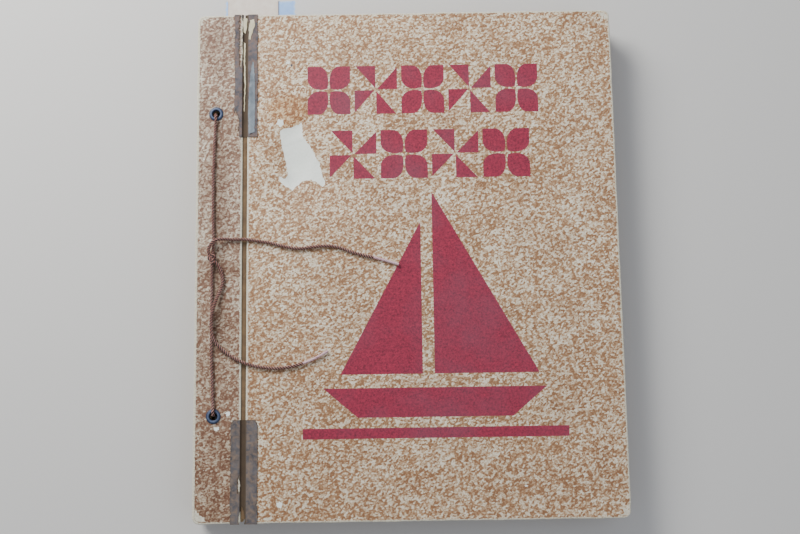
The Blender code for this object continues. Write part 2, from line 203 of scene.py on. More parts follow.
import bmesh
import bpy
from mathutils import Vector, noise
from mathutils.geometry import delaunay_2d_cdt

cad_low, cad_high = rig.bounds()

MM = 0.001

# Places read from the frame.
STRIP_LOW, STRIP_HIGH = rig.box("front_strip")
COVER_LOW, COVER_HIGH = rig.box("front_cover")
BACK_STRIP_LOW, BACK_STRIP_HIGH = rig.box("back_strip")
BACK_COVER_LOW, BACK_COVER_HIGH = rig.box("back_cover")
TOP = COVER_HIGH.z
FRONT_INNER = COVER_LOW.z
EYELET_CENTRES = {}
for eyelet_end in ("head", "foot"):
    eyelet_low, eyelet_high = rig.box(f"front_eyelet_{eyelet_end}")
    EYELET_CENTRES[eyelet_end] = (eyelet_low + eyelet_high) / 2
LACING_HOLES = [(centre.x, centre.y) for centre in EYELET_CENTRES.values()]

# The gutter of the front runs from the strip's edge to the cover's edge.
STRIP_EDGE = STRIP_HIGH.x
COVER_EDGE = COVER_LOW.x

# Sizes of the album's pieces.
CORNER_RADIUS = 4.5 * MM
GUTTER_CORNER_RADIUS = 2.2 * MM
GUTTER_REACH = 0.65 * MM
EYELET_BORE = 2.25 * MM
BOARD_HOLE_RADIUS = 2.9 * MM
LEAF_HOLE_RADIUS = 2.5 * MM
LEAF_SLAB = 0.5 * MM
SHEET_THICKNESS = 0.14 * MM
CLOTH_THICKNESS = 0.36 * MM
CLOTH_HALF_LENGTH = 149.5 * MM
TAPE_THICKNESS = 0.2 * MM
TURNING_LEAVES = 8
LEAVES = 15

# The cord rests on the boards with a small gap.
GAP = 0.3 * MM
CORD_DIAMETER = 1.9 * MM
CORD_REST = GAP + CORD_DIAMETER / 2


# ---------------------------------------------------------------- camera, light and floor

def aim_camera():
    """Camera above the album, a little towards its foot and turned by under a degree."""
    data = bpy.data.cameras.new("album_camera")
    data.lens = 50.0
    data.sensor_width = 36.0
    camera = bpy.data.objects.new("album_camera", data)
    camera.location = (-0.0043, -0.1031, 0.6697)
    camera.rotation_euler = (math.radians(8.591), math.radians(0.137), math.radians(-0.846))
    bpy.context.collection.objects.link(camera)
    bpy.context.scene.camera = camera


def area_light(name, place, target, size, power, colour):
    """Square soft light that faces a point."""
    data = bpy.data.lights.new(name, "AREA")
    data.size = size
    data.energy = power
    data.color = colour
    lamp = bpy.data.objects.new(name, data)
    lamp.location = place
    lamp.rotation_euler = (Vector(place) - Vector(target)).to_track_quat("Z", "Y").to_euler()
    bpy.context.collection.objects.link(lamp)


def light_studio():
    """Window-like key from the upper left, a weak fill and a pale surround."""
    area_light("key", (-0.48, 0.62, 0.50), (0, 0.02, 0), 0.45, 12.8, (1.0, 0.985, 0.955))
    area_light("fill", (0.8, -0.3, 0.9), (0, 0, 0), 1.2, 3.0, (0.95, 0.97, 1.0))
    world = bpy.data.worlds.new("studio")
    bpy.context.scene.world = world
    world.use_nodes = True
    background = world.node_tree.nodes["Background"]
    background.inputs["Color"].default_value = (0.86, 0.9, 1.0, 1.0)
    background.inputs["Strength"].default_value = 0.40


def lay_floor():
    """Plain pale floor under the album."""
    mesh = bpy.data.meshes.new("floor")
    reach = 15.0
    corners = [(-reach, -reach, 0), (reach, -reach, 0), (reach, reach, 0), (-reach, reach, 0)]
    mesh.from_pydata(corners, [], [(0, 1, 2, 3)])
    floor = bpy.data.objects.new("floor", mesh)
    finish = bpy.data.materials.new("pale_floor")
    finish.use_nodes = True
    shader = finish.node_tree.nodes["Principled BSDF"]
    shader.inputs["Base Color"].default_value = hex_colour("D9D8D5")
    shader.inputs["Roughness"].default_value = 0.9
    mesh.materials.append(finish)
    bpy.context.collection.objects.link(floor)
    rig.stage(floor)


# ---------------------------------------------------------------- routes of the cord

def smooth_route(route, steps=24):
    """Catmull-Rom curve through a route, sampled finely."""
    stops = [Vector(point) for point in route]
    stops = [2 * stops[0] - stops[1]] + stops + [2 * stops[-1] - stops[-2]]
    fine = []
    for a, b, c, d in zip(stops, stops[1:], stops[2:], stops[3:]):
        for step in range(steps):
            t = step / steps
            pull = (c - a) * t + (2 * a - 5 * b + 4 * c - d) * t**2 + (3 * b - a - 3 * c + d) * t**3
            fine.append(b + pull / 2)
    fine.append(stops[-2])
    return fine


def path_length(points):
    """Length of a row of points."""
    return sum((b - a).length for a, b in zip(points, points[1:]))


def part_route(fine, tip_length):
    """Part a route into the cord and its stiffened tip."""
    run = 0.0
    for index in range(len(fine) - 1, 0, -1):
        run += (fine[index] - fine[index - 1]).length
        if run >= tip_length:
            break
    return fine[: index + 1], fine[index:]


def lacing_route():
    """Route of the laced cord: knot, foot eyelets, under the back strip, head eyelets, knot."""
    rim = CORD_DIAMETER / 2 + GAP + 0.1 * MM
    over_flange = TOP + 0.75 * MM + rim
    on_board = TOP + CORD_REST
    under_strip = CORD_DIAMETER / 2 + 0.1 * MM
    eyelet_x = EYELET_CENTRES["foot"].x
    foot_rim = EYELET_CENTRES["foot"].y + EYELET_BORE
    head_rim = EYELET_CENTRES["head"].y - EYELET_BORE
    middle = (BACK_STRIP_HIGH.z + TOP) / 2
    foot = (
        (eyelet_x, foot_rim + 1.8 * MM, over_flange),
        (eyelet_x, foot_rim, over_flange),
        (eyelet_x, foot_rim - rim + 0.4 * MM, over_flange - 0.4 * MM),
        (eyelet_x, foot_rim - rim, over_flange - rim),
        (eyelet_x, foot_rim - rim, middle),
        (eyelet_x, foot_rim - rim, under_strip + rim),
        (eyelet_x, foot_rim - rim + 0.4 * MM, under_strip + 0.4 * MM),
        (eyelet_x, foot_rim, under_strip),
    )
    mirrored = [(x, head_rim - (y - foot_rim), z) for x, y, z in reversed(foot)]
    front_foot = (
        (-0.1152, -0.0010, TOP + 1.9 * MM),
        (-0.1153, -0.0080, on_board),
        (-0.1152, -0.0300, on_board),
        (-0.1151, -0.0550, on_board),
        (-0.1143, -0.0760, on_board),
        (-0.1140, -0.0835, on_board),
    )
    back = [(eyelet_x, y, under_strip) for y in (-0.06, 0.0, 0.06)]
    front_head = (
        (-0.1140, 0.0835, on_board),
        (-0.1146, 0.0700, on_board),
        (-0.1151, 0.0430, on_board),
        (-0.1148, 0.0200, on_board),
        (-0.1145, 0.0110, on_board),
        (-0.1151, 0.0030, TOP + 1.9 * MM),
    )
    return [*front_foot, *foot, *back, *mirrored, *front_head]


def upper_tail_route():
    """Free end that leaves the knot towards the head, crosses the laced cord and lies on the cover."""
    on_board = TOP + CORD_REST
    return (
        (-0.1163, 0.0031, TOP + 0.0024),
        (-0.1170, 0.0044, TOP + 0.0029),
        (-0.1169, 0.0072, TOP + 0.0034),
        (-0.1153, 0.0102, TOP + 0.0037),
        (-0.1126, 0.0122, TOP + 0.0034),
        (-0.1090, 0.0129, TOP + 0.0022),
        (-0.1055, 0.0129, TOP + 0.0014),
        (-0.1020, 0.0127, on_board),
        (-0.0949, 0.0126, on_board),
        (-0.0872, 0.0114, on_board),
        (-0.0804, 0.0102, on_board),
        (-0.0719, 0.0079, on_board),
        (-0.0634, 0.0067, on_board),
        (-0.0550, 0.0076, on_board),
        (-0.0465, 0.0080, on_board),
        (-0.0397, 0.0068, on_board),
        (-0.0330, 0.0042, on_board),
        (-0.0253, 0.0020, on_board),
        (-0.0194, 0.0006, on_board),
        (-0.0126, -0.0013, on_board),
        (-0.0051, -0.0037, on_board),
    )


def lower_tail_route():
    """Free end that leaves the knot towards the foot, rides over the laced cord and curls back."""
    on_board = TOP + CORD_REST
    return (
        (-0.1138, -0.0003, TOP + 0.0024),
        (-0.1125, -0.0016, TOP + 0.0020),
        (-0.1106, -0.0044, TOP + 0.0014),
        (-0.1093, -0.0084, on_board),
        (-0.1089, -0.0128, on_board),
        (-0.1102, -0.0178, TOP + 0.0013),
        (-0.1123, -0.0229, TOP + 0.0023),
        (-0.1140, -0.0286, TOP + 0.0035),
        (-0.1150, -0.0340, TOP + 0.0036),
        (-0.1151, -0.0395, TOP + 0.0036),
        (-0.1141, -0.0448, TOP + 0.0034),
        (-0.1120, -0.0490, TOP + 0.0023),
        (-0.1079, -0.0532, TOP + 0.0013),
        (-0.1028, -0.0569, on_board),
        (-0.0969, -0.0599, on_board),
        (-0.0903, -0.0621, on_board),
        (-0.0836, -0.0633, on_board),
        (-0.0769, -0.0637, on_board),
        (-0.0702, -0.0632, on_board),
        (-0.0635, -0.0616, on_board),
        (-0.0568, -0.0592, on_board),
        (-0.0518, -0.0568, on_board),
        (-0.0472, -0.0541, on_board),
    )


# ---------------------------------------------------------------- shader helpers

def hex_colour(code):
    """sRGB hex to the linear colour that a shader reads."""
    channels = []
    for start in (0, 2, 4):
        value = int(code[start:start + 2], 16) / 255
        channels.append(value / 12.92 if value <= 0.04045 else ((value + 0.055) / 1.055) ** 2.4)
    return (*channels, 1.0)


def feed(tree, node, inputs):
    """Give a node's sockets their values, or the outputs that feed them."""
    for key, value in inputs.items():
        if isinstance(value, bpy.types.NodeSocket):
            tree.links.new(value, node.inputs[key])
        else:
            node.inputs[key].default_value = value


def add(tree, kind, inputs=None, stops=(), **settings):
    """Add a node with its settings and links. stops are the places and hex colours of a ramp."""
    made = tree.nodes.new(kind)
    for key, value in settings.items():
        setattr(made, key, value)
    feed(tree, made, inputs or {})
    for _ in stops[2:]:
        made.color_ramp.elements.new(1.0)
    for index, (position, code) in enumerate(stops):
        made.color_ramp.elements[index].position = position
        made.color_ramp.elements[index].color = hex_colour(code)
    return made


def new_finish(name):
    """Empty material; returns it with its tree, its Principled shader and the object coordinates."""
    finish = bpy.data.materials.new(name)
    finish.use_nodes = True
    tree = finish.node_tree
    place = add(tree, "ShaderNodeTexCoord").outputs["Object"]
    return finish, tree, tree.nodes["Principled BSDF"], place


# ---------------------------------------------------------------- finishes

# Real sizes of the patterns. Flakes and fibres are drawn a little coarse, so that they show.
FLAKE_SIZE = 1.15 * MM
FINE_FLAKE_SIZE = 1.05 * MM
FLAKE_STOPS = (0.18, 0.38, 0.52, 0.66, 0.86)
FIBRE_SIZE = 0.25 * MM
STAIN_CENTRE = (-0.0705, 0.0905, TOP)


def flake_pattern(tree, place, tones):
    """Flakes that lean a little across the board, from the darkest tone to the palest."""
    leaning = add(tree, "ShaderNodeMapping", {
        "Vector": place, "Rotation": (0.0, 0.0, math.radians(24)), "Scale": (1.12, 0.93, 1.0),
    }, vector_type="TEXTURE").outputs["Vector"]
    shake = add(tree, "ShaderNodeTexNoise", {
        "Vector": leaning, "Scale": 1.0 / (1.0 * MM), "Detail": 2.0, "Roughness": 0.6,
    }).outputs["Color"]
    shaken = add(tree, "ShaderNodeVectorMath", {
        0: shake, 1: (0.9 * MM,) * 3, 2: leaning,
    }, operation="MULTIPLY_ADD").outputs["Vector"]
    flakes = add(tree, "ShaderNodeTexVoronoi", {
        "Vector": shaken, "Scale": 1.0 / FLAKE_SIZE, "Smoothness": 0.25,
    }, feature="SMOOTH_F1").outputs["Color"]
    flake_tone = add(tree, "ShaderNodeSeparateColor", {"Color": flakes}).outputs["Red"]
    small = add(tree, "ShaderNodeTexNoise", {
        "Vector": leaning, "Scale": 1.0 / FINE_FLAKE_SIZE, "Detail": 2.5, "Roughness": 0.6,
        "Distortion": 0.3,
    }).outputs["Fac"]
    clouds = add(tree, "ShaderNodeTexNoise", {
        "Vector": place, "Scale": 1.0 / (30 * MM), "Detail": 2.0, "Roughness": 0.5,
    }).outputs["Fac"]
    tone = add(tree, "ShaderNodeMath", {
        0: flake_tone, 1: 0.55, 2: small,
    }, operation="MULTIPLY_ADD").outputs[0]
    tone = add(tree, "ShaderNodeMath", {0: clouds, 1: 0.22, 2: tone}, operation="MULTIPLY_ADD").outputs[0]
    level = add(tree, "ShaderNodeMapRange", {
        "Value": tone, "From Min": 0.52, "From Max": 1.30,
    }).outputs["Result"]
    stops = tuple(zip(FLAKE_STOPS, tones))
    return add(tree, "ShaderNodeValToRGB", {"Fac": level}, stops=stops).outputs["Color"]


def soil_and_shade(tree, place, paper, soiling_and_foot_shade):
    """Darken the paper with cloudy patches of grime, with painted shade towards the foot, and with a painted cord
    shadow mixed with grime beside the cord, where hands rub it.
    """
    grime = add(tree, "ShaderNodeTexNoise", {
        "Vector": place, "Scale": 1.0 / (20 * MM), "Detail": 4.0, "Roughness": 0.6, "Distortion": 0.5,
    }).outputs["Fac"]
    grime_mask = add(tree, "ShaderNodeMapRange", {
        "Value": grime, "From Min": 0.42, "From Max": 0.72, "To Max": soiling_and_foot_shade,
    }).outputs["Result"]
    across = add(tree, "ShaderNodeSeparateXYZ", {"Vector": place}).outputs
    # Painted shade: the paper darkens towards the foot, as if the light falls off there.
    foot_shade = add(tree, "ShaderNodeMapRange", {
        "Value": across["Y"], "From Min": 0.02, "From Max": -0.15, "To Max": soiling_and_foot_shade,
    }).outputs["Result"]
    # Painted shadow of the laced cord, mixed with real grime: a dark band just right of the cord, strongest near the
    # knot and fading towards the eyelets.
    cord_shadow_and_grime = add(tree, "ShaderNodeMapRange", {
        "Value": across["X"], "From Min": -0.103, "From Max": -0.112, "To Max": 0.55,
    }).outputs["Result"]
    right_of_cord = add(tree, "ShaderNodeMapRange", {
        "Value": across["X"], "From Min": -0.1155, "From Max": -0.1135,
    }).outputs["Result"]
    beside = add(tree, "ShaderNodeMath", {0: cord_shadow_and_grime, 1: right_of_cord}, operation="MULTIPLY").outputs[0]
    middle = add(tree, "ShaderNodeMath", {0: across["Y"]}, operation="ABSOLUTE").outputs[0]
    length_fade = add(tree, "ShaderNodeMapRange", {
        "Value": middle, "From Min": 0.085, "From Max": 0.03, "To Min": 0.25, "To Max": 1.0,
    }).outputs["Result"]
    beside = add(tree, "ShaderNodeMath", {0: beside, 1: length_fade}, operation="MULTIPLY").outputs[0]
    # Colours of the grime, of the painted shade towards the foot, and of the painted cord shadow with grime.
    for mask, shade in ((grime_mask, "B79C88"), (foot_shade, "E2D3C2"), (beside, "9C8270")):
        paper = add(tree, "ShaderNodeMix", {
            0: mask, 6: paper, 7: hex_colour(shade),
        }, data_type="RGBA", blend_type="MULTIPLY").outputs[2]
    return paper


def glue_stain(tree, place, paper):
    """Brown glue stain with a blotted rim, above the torn patch."""
    distance = add(tree, "ShaderNodeVectorMath", {
        0: place, 1: STAIN_CENTRE,
    }, operation="DISTANCE").outputs["Value"]
    blots = add(tree, "ShaderNodeTexNoise", {
        "Vector": place, "Scale": 1.0 / (7 * MM), "Detail": 4.0, "Roughness": 0.6,
    }).outputs["Fac"]
    reach = add(tree, "ShaderNodeMath", {
        0: blots, 1: -16 * MM, 2: distance,
    }, operation="MULTIPLY_ADD").outputs[0]
    stain = add(tree, "ShaderNodeMapRange", {
        "Value": reach, "From Min": 6 * MM, "From Max": 1 * MM, "To Max": 0.6,
    }).outputs["Result"]
    return add(tree, "ShaderNodeMix", {
        0: stain, 6: paper, 7: hex_colour("E0B77A"),
    }, data_type="RGBA", blend_type="MULTIPLY").outputs[2]


def speckled_paper(name, tones, soiling_and_foot_shade):
    """Calendered cover paper printed with flakes, half matt, rubbed through to pulp at worn edges, grimy, with painted
    shade towards the foot and a painted cord shadow.

    tones go from the darkest flakes to the palest, and soiling_and_foot_shade is how much handling grime and painted
    shade towards the foot darken it.
    """
    finish, tree, shader, place = new_finish(name)
    paper = glue_stain(tree, place, soil_and_shade(tree, place, flake_pattern(tree, place, tones), soiling_and_foot_shade))
    wear = add(tree, "ShaderNodeAttribute", attribute_name="edge_wear").outputs["Fac"]
    chips = add(tree, "ShaderNodeTexNoise", {
        "Vector": place, "Scale": 1.0 / (1.6 * MM), "Detail": 4.0, "Roughness": 0.65,
    }).outputs["Fac"]
    fraying = add(tree, "ShaderNodeMath", {0: chips, 1: 1.5, 2: wear}, operation="MULTIPLY_ADD").outputs[0]
    bare = add(tree, "ShaderNodeMapRange", {
        "Value": fraying, "From Min": 1.15, "From Max": 1.28,
    }).outputs["Result"]
    pulp = add(tree, "ShaderNodeTexNoise", {
        "Vector": place, "Scale": 1.0 / (0.8 * MM), "Detail": 5.0, "Roughness": 0.6,
    }).outputs["Fac"]
    core = add(tree, "ShaderNodeValToRGB", {"Fac": pulp}, stops=((0.3, "BDB69E"), (0.6, "E2DDC9")))
    colour = add(tree, "ShaderNodeMix", {
        0: bare, 6: paper, 7: core.outputs["Color"],
    }, data_type="RGBA").outputs[2]
    rough = add(tree, "ShaderNodeMapRange", {"Value": bare, "To Min": 0.52, "To Max": 0.92})
    grain = add(tree, "ShaderNodeTexNoise", {
        "Vector": place, "Scale": 1.0 / FIBRE_SIZE, "Detail": 3.0, "Roughness": 0.6,
    }).outputs["Fac"]
    dents = add(tree, "ShaderNodeTexNoise", {
        "Vector": place, "Scale": 1.0 / (12 * MM), "Detail": 2.0, "Roughness": 0.5,
    }).outputs["Fac"]
    height = add(tree, "ShaderNodeMath", {0: dents, 1: 6.0, 2: grain}, operation="MULTIPLY_ADD").outputs[0]
    sunk = add(tree, "ShaderNodeMath", {0: bare, 1: -1.5, 2: height}, operation="MULTIPLY_ADD").outputs[0]
    bump = add(tree, "ShaderNodeBump", {"Height": sunk, "Strength": 0.35, "Distance": 0.06 * MM})
    feed(tree, shader, {
        "Base Color": colour, "Roughness": rough.outputs["Result"], "Normal": bump.outputs["Normal"],
    })
    return finish


def red_ink():
    """Red letterpress ink on the cover paper: flat and half matt, hazy in clouds and rubbed in specks."""
    finish, tree, shader, place = new_finish("red_letterpress_ink")
    mottle = add(tree, "ShaderNodeTexNoise", {
        "Vector": place, "Scale": 1.0 / FLAKE_SIZE, "Detail": 4.0, "Roughness": 0.7, "Distortion": 0.6,
    }).outputs["Fac"]
    colour = add(tree, "ShaderNodeValToRGB", {"Fac": mottle}, stops=(
        (0.34, "6C2234"), (0.50, "942C44"), (0.66, "AE324C"),
    )).outputs["Color"]
    bloom = add(tree, "ShaderNodeTexNoise", {
        "Vector": place, "Scale": 1.0 / (35 * MM), "Detail": 3.0, "Roughness": 0.6,
    }).outputs["Fac"]
    rubs = add(tree, "ShaderNodeTexNoise", {
        "Vector": place, "Scale": 1.0 / (2 * MM), "Detail": 6.0, "Roughness": 0.75, "Distortion": 1.2,
    }).outputs["Fac"]
    for field, low, high, most, shade in (
        (bloom, 0.45, 0.72, 0.38, "7A5060"), (rubs, 0.70, 0.80, 0.5, "9D9AA6"),
    ):
        mask = add(tree, "ShaderNodeMapRange", {
            "Value": field, "From Min": low, "From Max": high, "To Max": most,
        }).outputs["Result"]
        colour = add(tree, "ShaderNodeMix", {
            0: mask, 6: colour, 7: hex_colour(shade),
        }, data_type="RGBA").outputs[2]
    grain = add(tree, "ShaderNodeTexNoise", {
        "Vector": place, "Scale": 0.5 / FIBRE_SIZE, "Detail": 3.0, "Roughness": 0.6,
    }).outputs["Fac"]
    bump = add(tree, "ShaderNodeBump", {"Height": grain, "Strength": 0.25, "Distance": 0.04 * MM})
    feed(tree, shader, {"Base Color": colour, "Roughness": 0.42, "Normal": bump.outputs["Normal"]})
    return finish


def bare_pulp(name, low, high):
    """Grey-white pulp board where its paper has torn or worn off: dead matt, with a faint fibre."""
    finish, tree, shader, place = new_finish(name)
    fibre = add(tree, "ShaderNodeTexNoise", {
        "Vector": place, "Scale": 1.0 / (1.2 * MM), "Detail": 5.0, "Roughness": 0.65,
    }).outputs["Fac"]
    colour = add(tree, "ShaderNodeValToRGB", {"Fac": fibre}, stops=((0.30, low), (0.62, high)))
    bump = add(tree, "ShaderNodeBump", {"Height": fibre, "Strength": 0.4, "Distance": 0.08 * MM})
    feed(tree, shader, {
        "Base Color": colour.outputs["Color"], "Roughness": 0.95, "Normal": bump.outputs["Normal"],
    })
    return finish


def uncoated_paper(name, low, high, edge):
    """Uncoated paper: matt, with cloudy formation, short fibres and edges browned with age."""
    finish, tree, shader, place = new_finish(name)
    clouds = add(tree, "ShaderNodeTexNoise", {
        "Vector": place, "Scale": 1.0 / (4 * MM), "Detail": 5.0, "Roughness": 0.6,
    }).outputs["Fac"]
    colour = add(tree, "ShaderNodeValToRGB", {"Fac": clouds}, stops=((0.32, low), (0.66, high)))
    wear = add(tree, "ShaderNodeAttribute", attribute_name="edge_wear").outputs["Fac"]
    patches = add(tree, "ShaderNodeTexNoise", {
        "Vector": place, "Scale": 1.0 / (9 * MM), "Detail": 4.0, "Roughness": 0.6,
    }).outputs["Fac"]
    browned = add(tree, "ShaderNodeMath", {0: wear, 1: patches}, operation="MULTIPLY").outputs[0]
    colour = add(tree, "ShaderNodeMix", {
        0: browned, 6: colour.outputs["Color"], 7: hex_colour(edge),
    }, data_type="RGBA").outputs[2]
    grain = add(tree, "ShaderNodeTexNoise", {
        "Vector": place, "Scale": 1.0 / (1.5 * FIBRE_SIZE), "Detail": 3.0, "Roughness": 0.6,
    }).outputs["Fac"]
    bump = add(tree, "ShaderNodeBump", {"Height": grain, "Strength": 0.3, "Distance": 0.05 * MM})
    feed(tree, shader, {"Base Color": colour, "Roughness": 0.88, "Normal": bump.outputs["Normal"]})
    return finish


def woven_cloth(name, low, high, thread, rubbed, rub_amount):
    """Plain-woven book cloth: matt crossed threads, faded, rubbed to another ground in patches, and darkened to a
    mottled brown as painted shade where its fold_shade attribute is set.

    thread is the spacing of the threads, drawn coarser than real cloth so that it shows.
    """
    finish, tree, shader, place = new_finish(name)
    bands = []
    for direction in "XY":
        bands.append(add(tree, "ShaderNodeTexWave", {
            "Vector": place, "Scale": 0.314 / thread, "Distortion": 0.6, "Detail": 1.0,
        }, bands_direction=direction).outputs["Fac"])
    weave = add(tree, "ShaderNodeMath", {0: bands[0], 1: bands[1]}, operation="MULTIPLY").outputs[0]
    fading = add(tree, "ShaderNodeTexNoise", {
        "Vector": place, "Scale": 1.0 / (6 * MM), "Detail": 4.0, "Roughness": 0.6,
    }).outputs["Fac"]
    tone = add(tree, "ShaderNodeMath", {0: weave, 1: 0.35, 2: fading}, operation="MULTIPLY_ADD").outputs[0]
    ground = add(tree, "ShaderNodeValToRGB", {"Fac": tone}, stops=((0.40, low), (0.85, high)))
    rubs = add(tree, "ShaderNodeTexNoise", {
        "Vector": place, "Scale": 1.0 / (3.5 * MM), "Detail": 6.0, "Roughness": 0.7, "Distortion": 0.8,
    }).outputs["Fac"]
    rub_mask = add(tree, "ShaderNodeMapRange", {
        "Value": rubs, "From Min": 0.58 - rub_amount, "From Max": 0.80 - rub_amount, "To Max": 0.85,
    }).outputs["Result"]
    colour = add(tree, "ShaderNodeMix", {
        0: rub_mask, 6: ground.outputs["Color"], 7: hex_colour(rubbed),
    }, data_type="RGBA").outputs[2]
    # Painted shade: a mottled dark brown in the gutter crease and along torn edges.
    fold_shade = add(tree, "ShaderNodeAttribute", attribute_name="fold_shade").outputs["Fac"]
    fold_shade_colour = add(tree, "ShaderNodeMix", {
        0: fading, 6: hex_colour("2E2418"), 7: hex_colour("57442F"),
    }, data_type="RGBA").outputs[2]
    colour = add(tree, "ShaderNodeMix", {0: fold_shade, 6: colour, 7: fold_shade_colour}, data_type="RGBA").outputs[2]
    bump = add(tree, "ShaderNodeBump", {"Height": weave, "Strength": 0.5, "Distance": 0.08 * MM})
    feed(tree, shader, {
        "Base Color": colour, "Roughness": 0.8, "Sheen Weight": 0.15, "Normal": bump.outputs["Normal"],
    })
    return finish


def rayon_cord(name, deep, body, highlight_tone, valley_shade, roughness, sheen):
    """Spun rayon cord: rust-brown plies with pale streaks of painted highlight along them, and painted shade in the
    grooves between the plies.
    """
    finish, tree, shader, place = new_finish(name)
    around = add(tree, "ShaderNodeAttribute", attribute_name="around").outputs["Fac"]
    along = add(tree, "ShaderNodeAttribute", attribute_name="along").outputs["Fac"]
    fibre_place = add(tree, "ShaderNodeCombineXYZ", {
        "X": add(tree, "ShaderNodeMath", {0: around, 1: 9.0}, operation="MULTIPLY").outputs[0],
        "Y": add(tree, "ShaderNodeMath", {0: along, 1: 900.0}, operation="MULTIPLY").outputs[0],
    }).outputs[0]
    fibres = add(tree, "ShaderNodeTexNoise", {
        "Vector": fibre_place, "Scale": 1.3, "Detail": 4.0, "Roughness": 0.7,
    }).outputs["Fac"]
    fading = add(tree, "ShaderNodeTexNoise", {
        "Vector": place, "Scale": 1.0 / (7 * MM), "Detail": 3.0, "Roughness": 0.6,
    }).outputs["Fac"]
    tone = add(tree, "ShaderNodeMath", {0: fading, 1: 0.5, 2: fibres}, operation="MULTIPLY_ADD").outputs[0]
    # The palest stop is a painted highlight: pale streaks along the fibres.
    plies = add(tree, "ShaderNodeValToRGB", {"Fac": tone}, stops=((0.48, deep), (0.70, body), (0.98, highlight_tone)))
    # Painted shade: each ply turns near black everywhere but along its outer crest, so the grooves between the plies
    # read dark.
    valley_shade_mask = add(tree, "ShaderNodeMapRange", {
        "Value": around, "From Min": 0.05, "From Max": 0.15, "To Max": valley_shade,
    }).outputs["Result"]
    colour = add(tree, "ShaderNodeMix", {
        0: valley_shade_mask, 6: plies.outputs["Color"], 7: hex_colour("24100B"),
    }, data_type="RGBA").outputs[2]
    bump = add(tree, "ShaderNodeBump", {"Height": fibres, "Strength": 0.5, "Distance": 0.06 * MM})
    feed(tree, shader, {
        "Base Color": colour, "Roughness": roughness, "Sheen Weight": sheen,
        "Normal": bump.outputs["Normal"],
    })
    return finish


def japanned_steel():
    """Eyelet of pressed steel, japanned blue-black: a soft gloss, rubbed to grey on its crown."""
    finish, tree, shader, place = new_finish("japanned_eyelet_steel")
    wear = add(tree, "ShaderNodeAttribute", attribute_name="edge_wear").outputs["Fac"]
    rubs = add(tree, "ShaderNodeTexNoise", {
        "Vector": place, "Scale": 1.0 / (1.3 * MM), "Detail": 5.0, "Roughness": 0.7,
    }).outputs["Fac"]
    rubbed = add(tree, "ShaderNodeMath", {0: rubs, 1: 1.1, 2: wear}, operation="MULTIPLY_ADD").outputs[0]
    mask = add(tree, "ShaderNodeMapRange", {
        "Value": rubbed, "From Min": 1.1, "From Max": 1.7,
    }).outputs["Result"]
    colour = add(tree, "ShaderNodeMix", {
        0: mask, 6: hex_colour("2E3A54"), 7: hex_colour("5F6D8B"),
    }, data_type="RGBA").outputs[2]
    bump = add(tree, "ShaderNodeBump", {"Height": rubs, "Strength": 0.3, "Distance": 0.05 * MM})
    feed(tree, shader, {
        "Base Color": colour, "Metallic": 0.2, "Roughness": 0.5, "Normal": bump.outputs["Normal"],
    })
    return finish


# ---------------------------------------------------------------- sheets cut from outlines

def wander(value, seed, size):
    """Smooth number between about -1 and 1 along a line."""
    return noise.noise(Vector((value / size, seed * 7.31, seed * 1.7)))


def ease(t):
    """Smooth step from 0 to 1."""
    t = min(1.0, max(0.0, t))
    return t * t * (3 - 2 * t)


def rounded_outline(low, high, radii, step=1.4 * MM):
    """Closed outline, anticlockwise, sampled evenly. radii go from the low corner round."""
    corners = (
        (low.x, low.y, 1, 1, 180), (high.x, low.y, -1, 1, 270),
        (high.x, high.y, -1, -1, 0), (low.x, high.y, 1, -1, 90),
    )
    key = []
    for (x, y, to_x, to_y, start), radius in zip(corners, radii):
        turns = max(2, round(radius * math.pi / 2 / (0.5 * step)))
        for turn in range(turns + 1):
            angle = math.radians(start + 90 * turn / turns)
            key.append(Vector((x + to_x * radius + radius * math.cos(angle),
                               y + to_y * radius + radius * math.sin(angle))))
    points = []
    for a, b in zip(key, key[1:] + key[:1]):
        count = max(1, round((b - a).length / step))
        points += [a.lerp(b, n / count) for n in range(count)]
    return points


def inset(points, distance):
    """Outline moved inwards by a distance."""
    moved = []
    for before, here, after in zip(points[-1:] + points[:-1], points, points[1:] + points[:1]):
        along = (after - before).normalized()
        moved.append(here + Vector((-along.y, along.x)) * distance)
    return moved


def ragged(points, seed, amount):
    """Outline whose edge wanders inwards by up to amount, which is a function of the point."""
    inward = inset(points, 1.0)
    run = 0.0
    moved = []
    for index, (here, inner) in enumerate(zip(points, inward)):
        run += (here - points[index - 1]).length if index else 0.0
        slow = 0.5 + 0.5 * wander(run, seed + 9, 16.0 * MM)
        rough = 0.5 + 0.5 * wander(run, seed, 4.5 * MM)
        fine = 0.5 + 0.5 * wander(run, seed + 3, 1.7 * MM)
        moved.append(here + (inner - here) * amount(here) * (0.45 * slow + 0.3 * rough + 0.25 * fine))
    return moved


def cut_sheet(outline, holes=(), patches=(), interior=()):
    """Triangles that fill an outline, without the holes; each has its patch number, or 0.

    Returns the points, the triangles, their patch numbers and each given point's new number.
    """
    points = [Vector(p) for p in outline]
    faces = [list(range(len(points)))]
    for loop in (*holes, *patches):
        faces.append(list(range(len(points), len(points) + len(loop))))
        points += [Vector(p) for p in loop]
    points += [Vector(p) for p in interior]
    made, _, triangles, origins, _, sources = delaunay_2d_cdt(points, [], faces, 1, 1e-7, True)
    order = [0] * len(points)
    for index, origin in enumerate(origins):
        for given in origin:
            order[given] = index
    kept, numbers = [], []
    hole_ids = set(range(1, 1 + len(holes)))
    for triangle, source in zip(triangles, sources):
        if 0 not in source or hole_ids & set(source):
            continue
        patch = [s - len(holes) for s in source if s > len(holes)]
        kept.append(triangle)
        numbers.append(max(patch, default=0))
    return made, kept, numbers, order


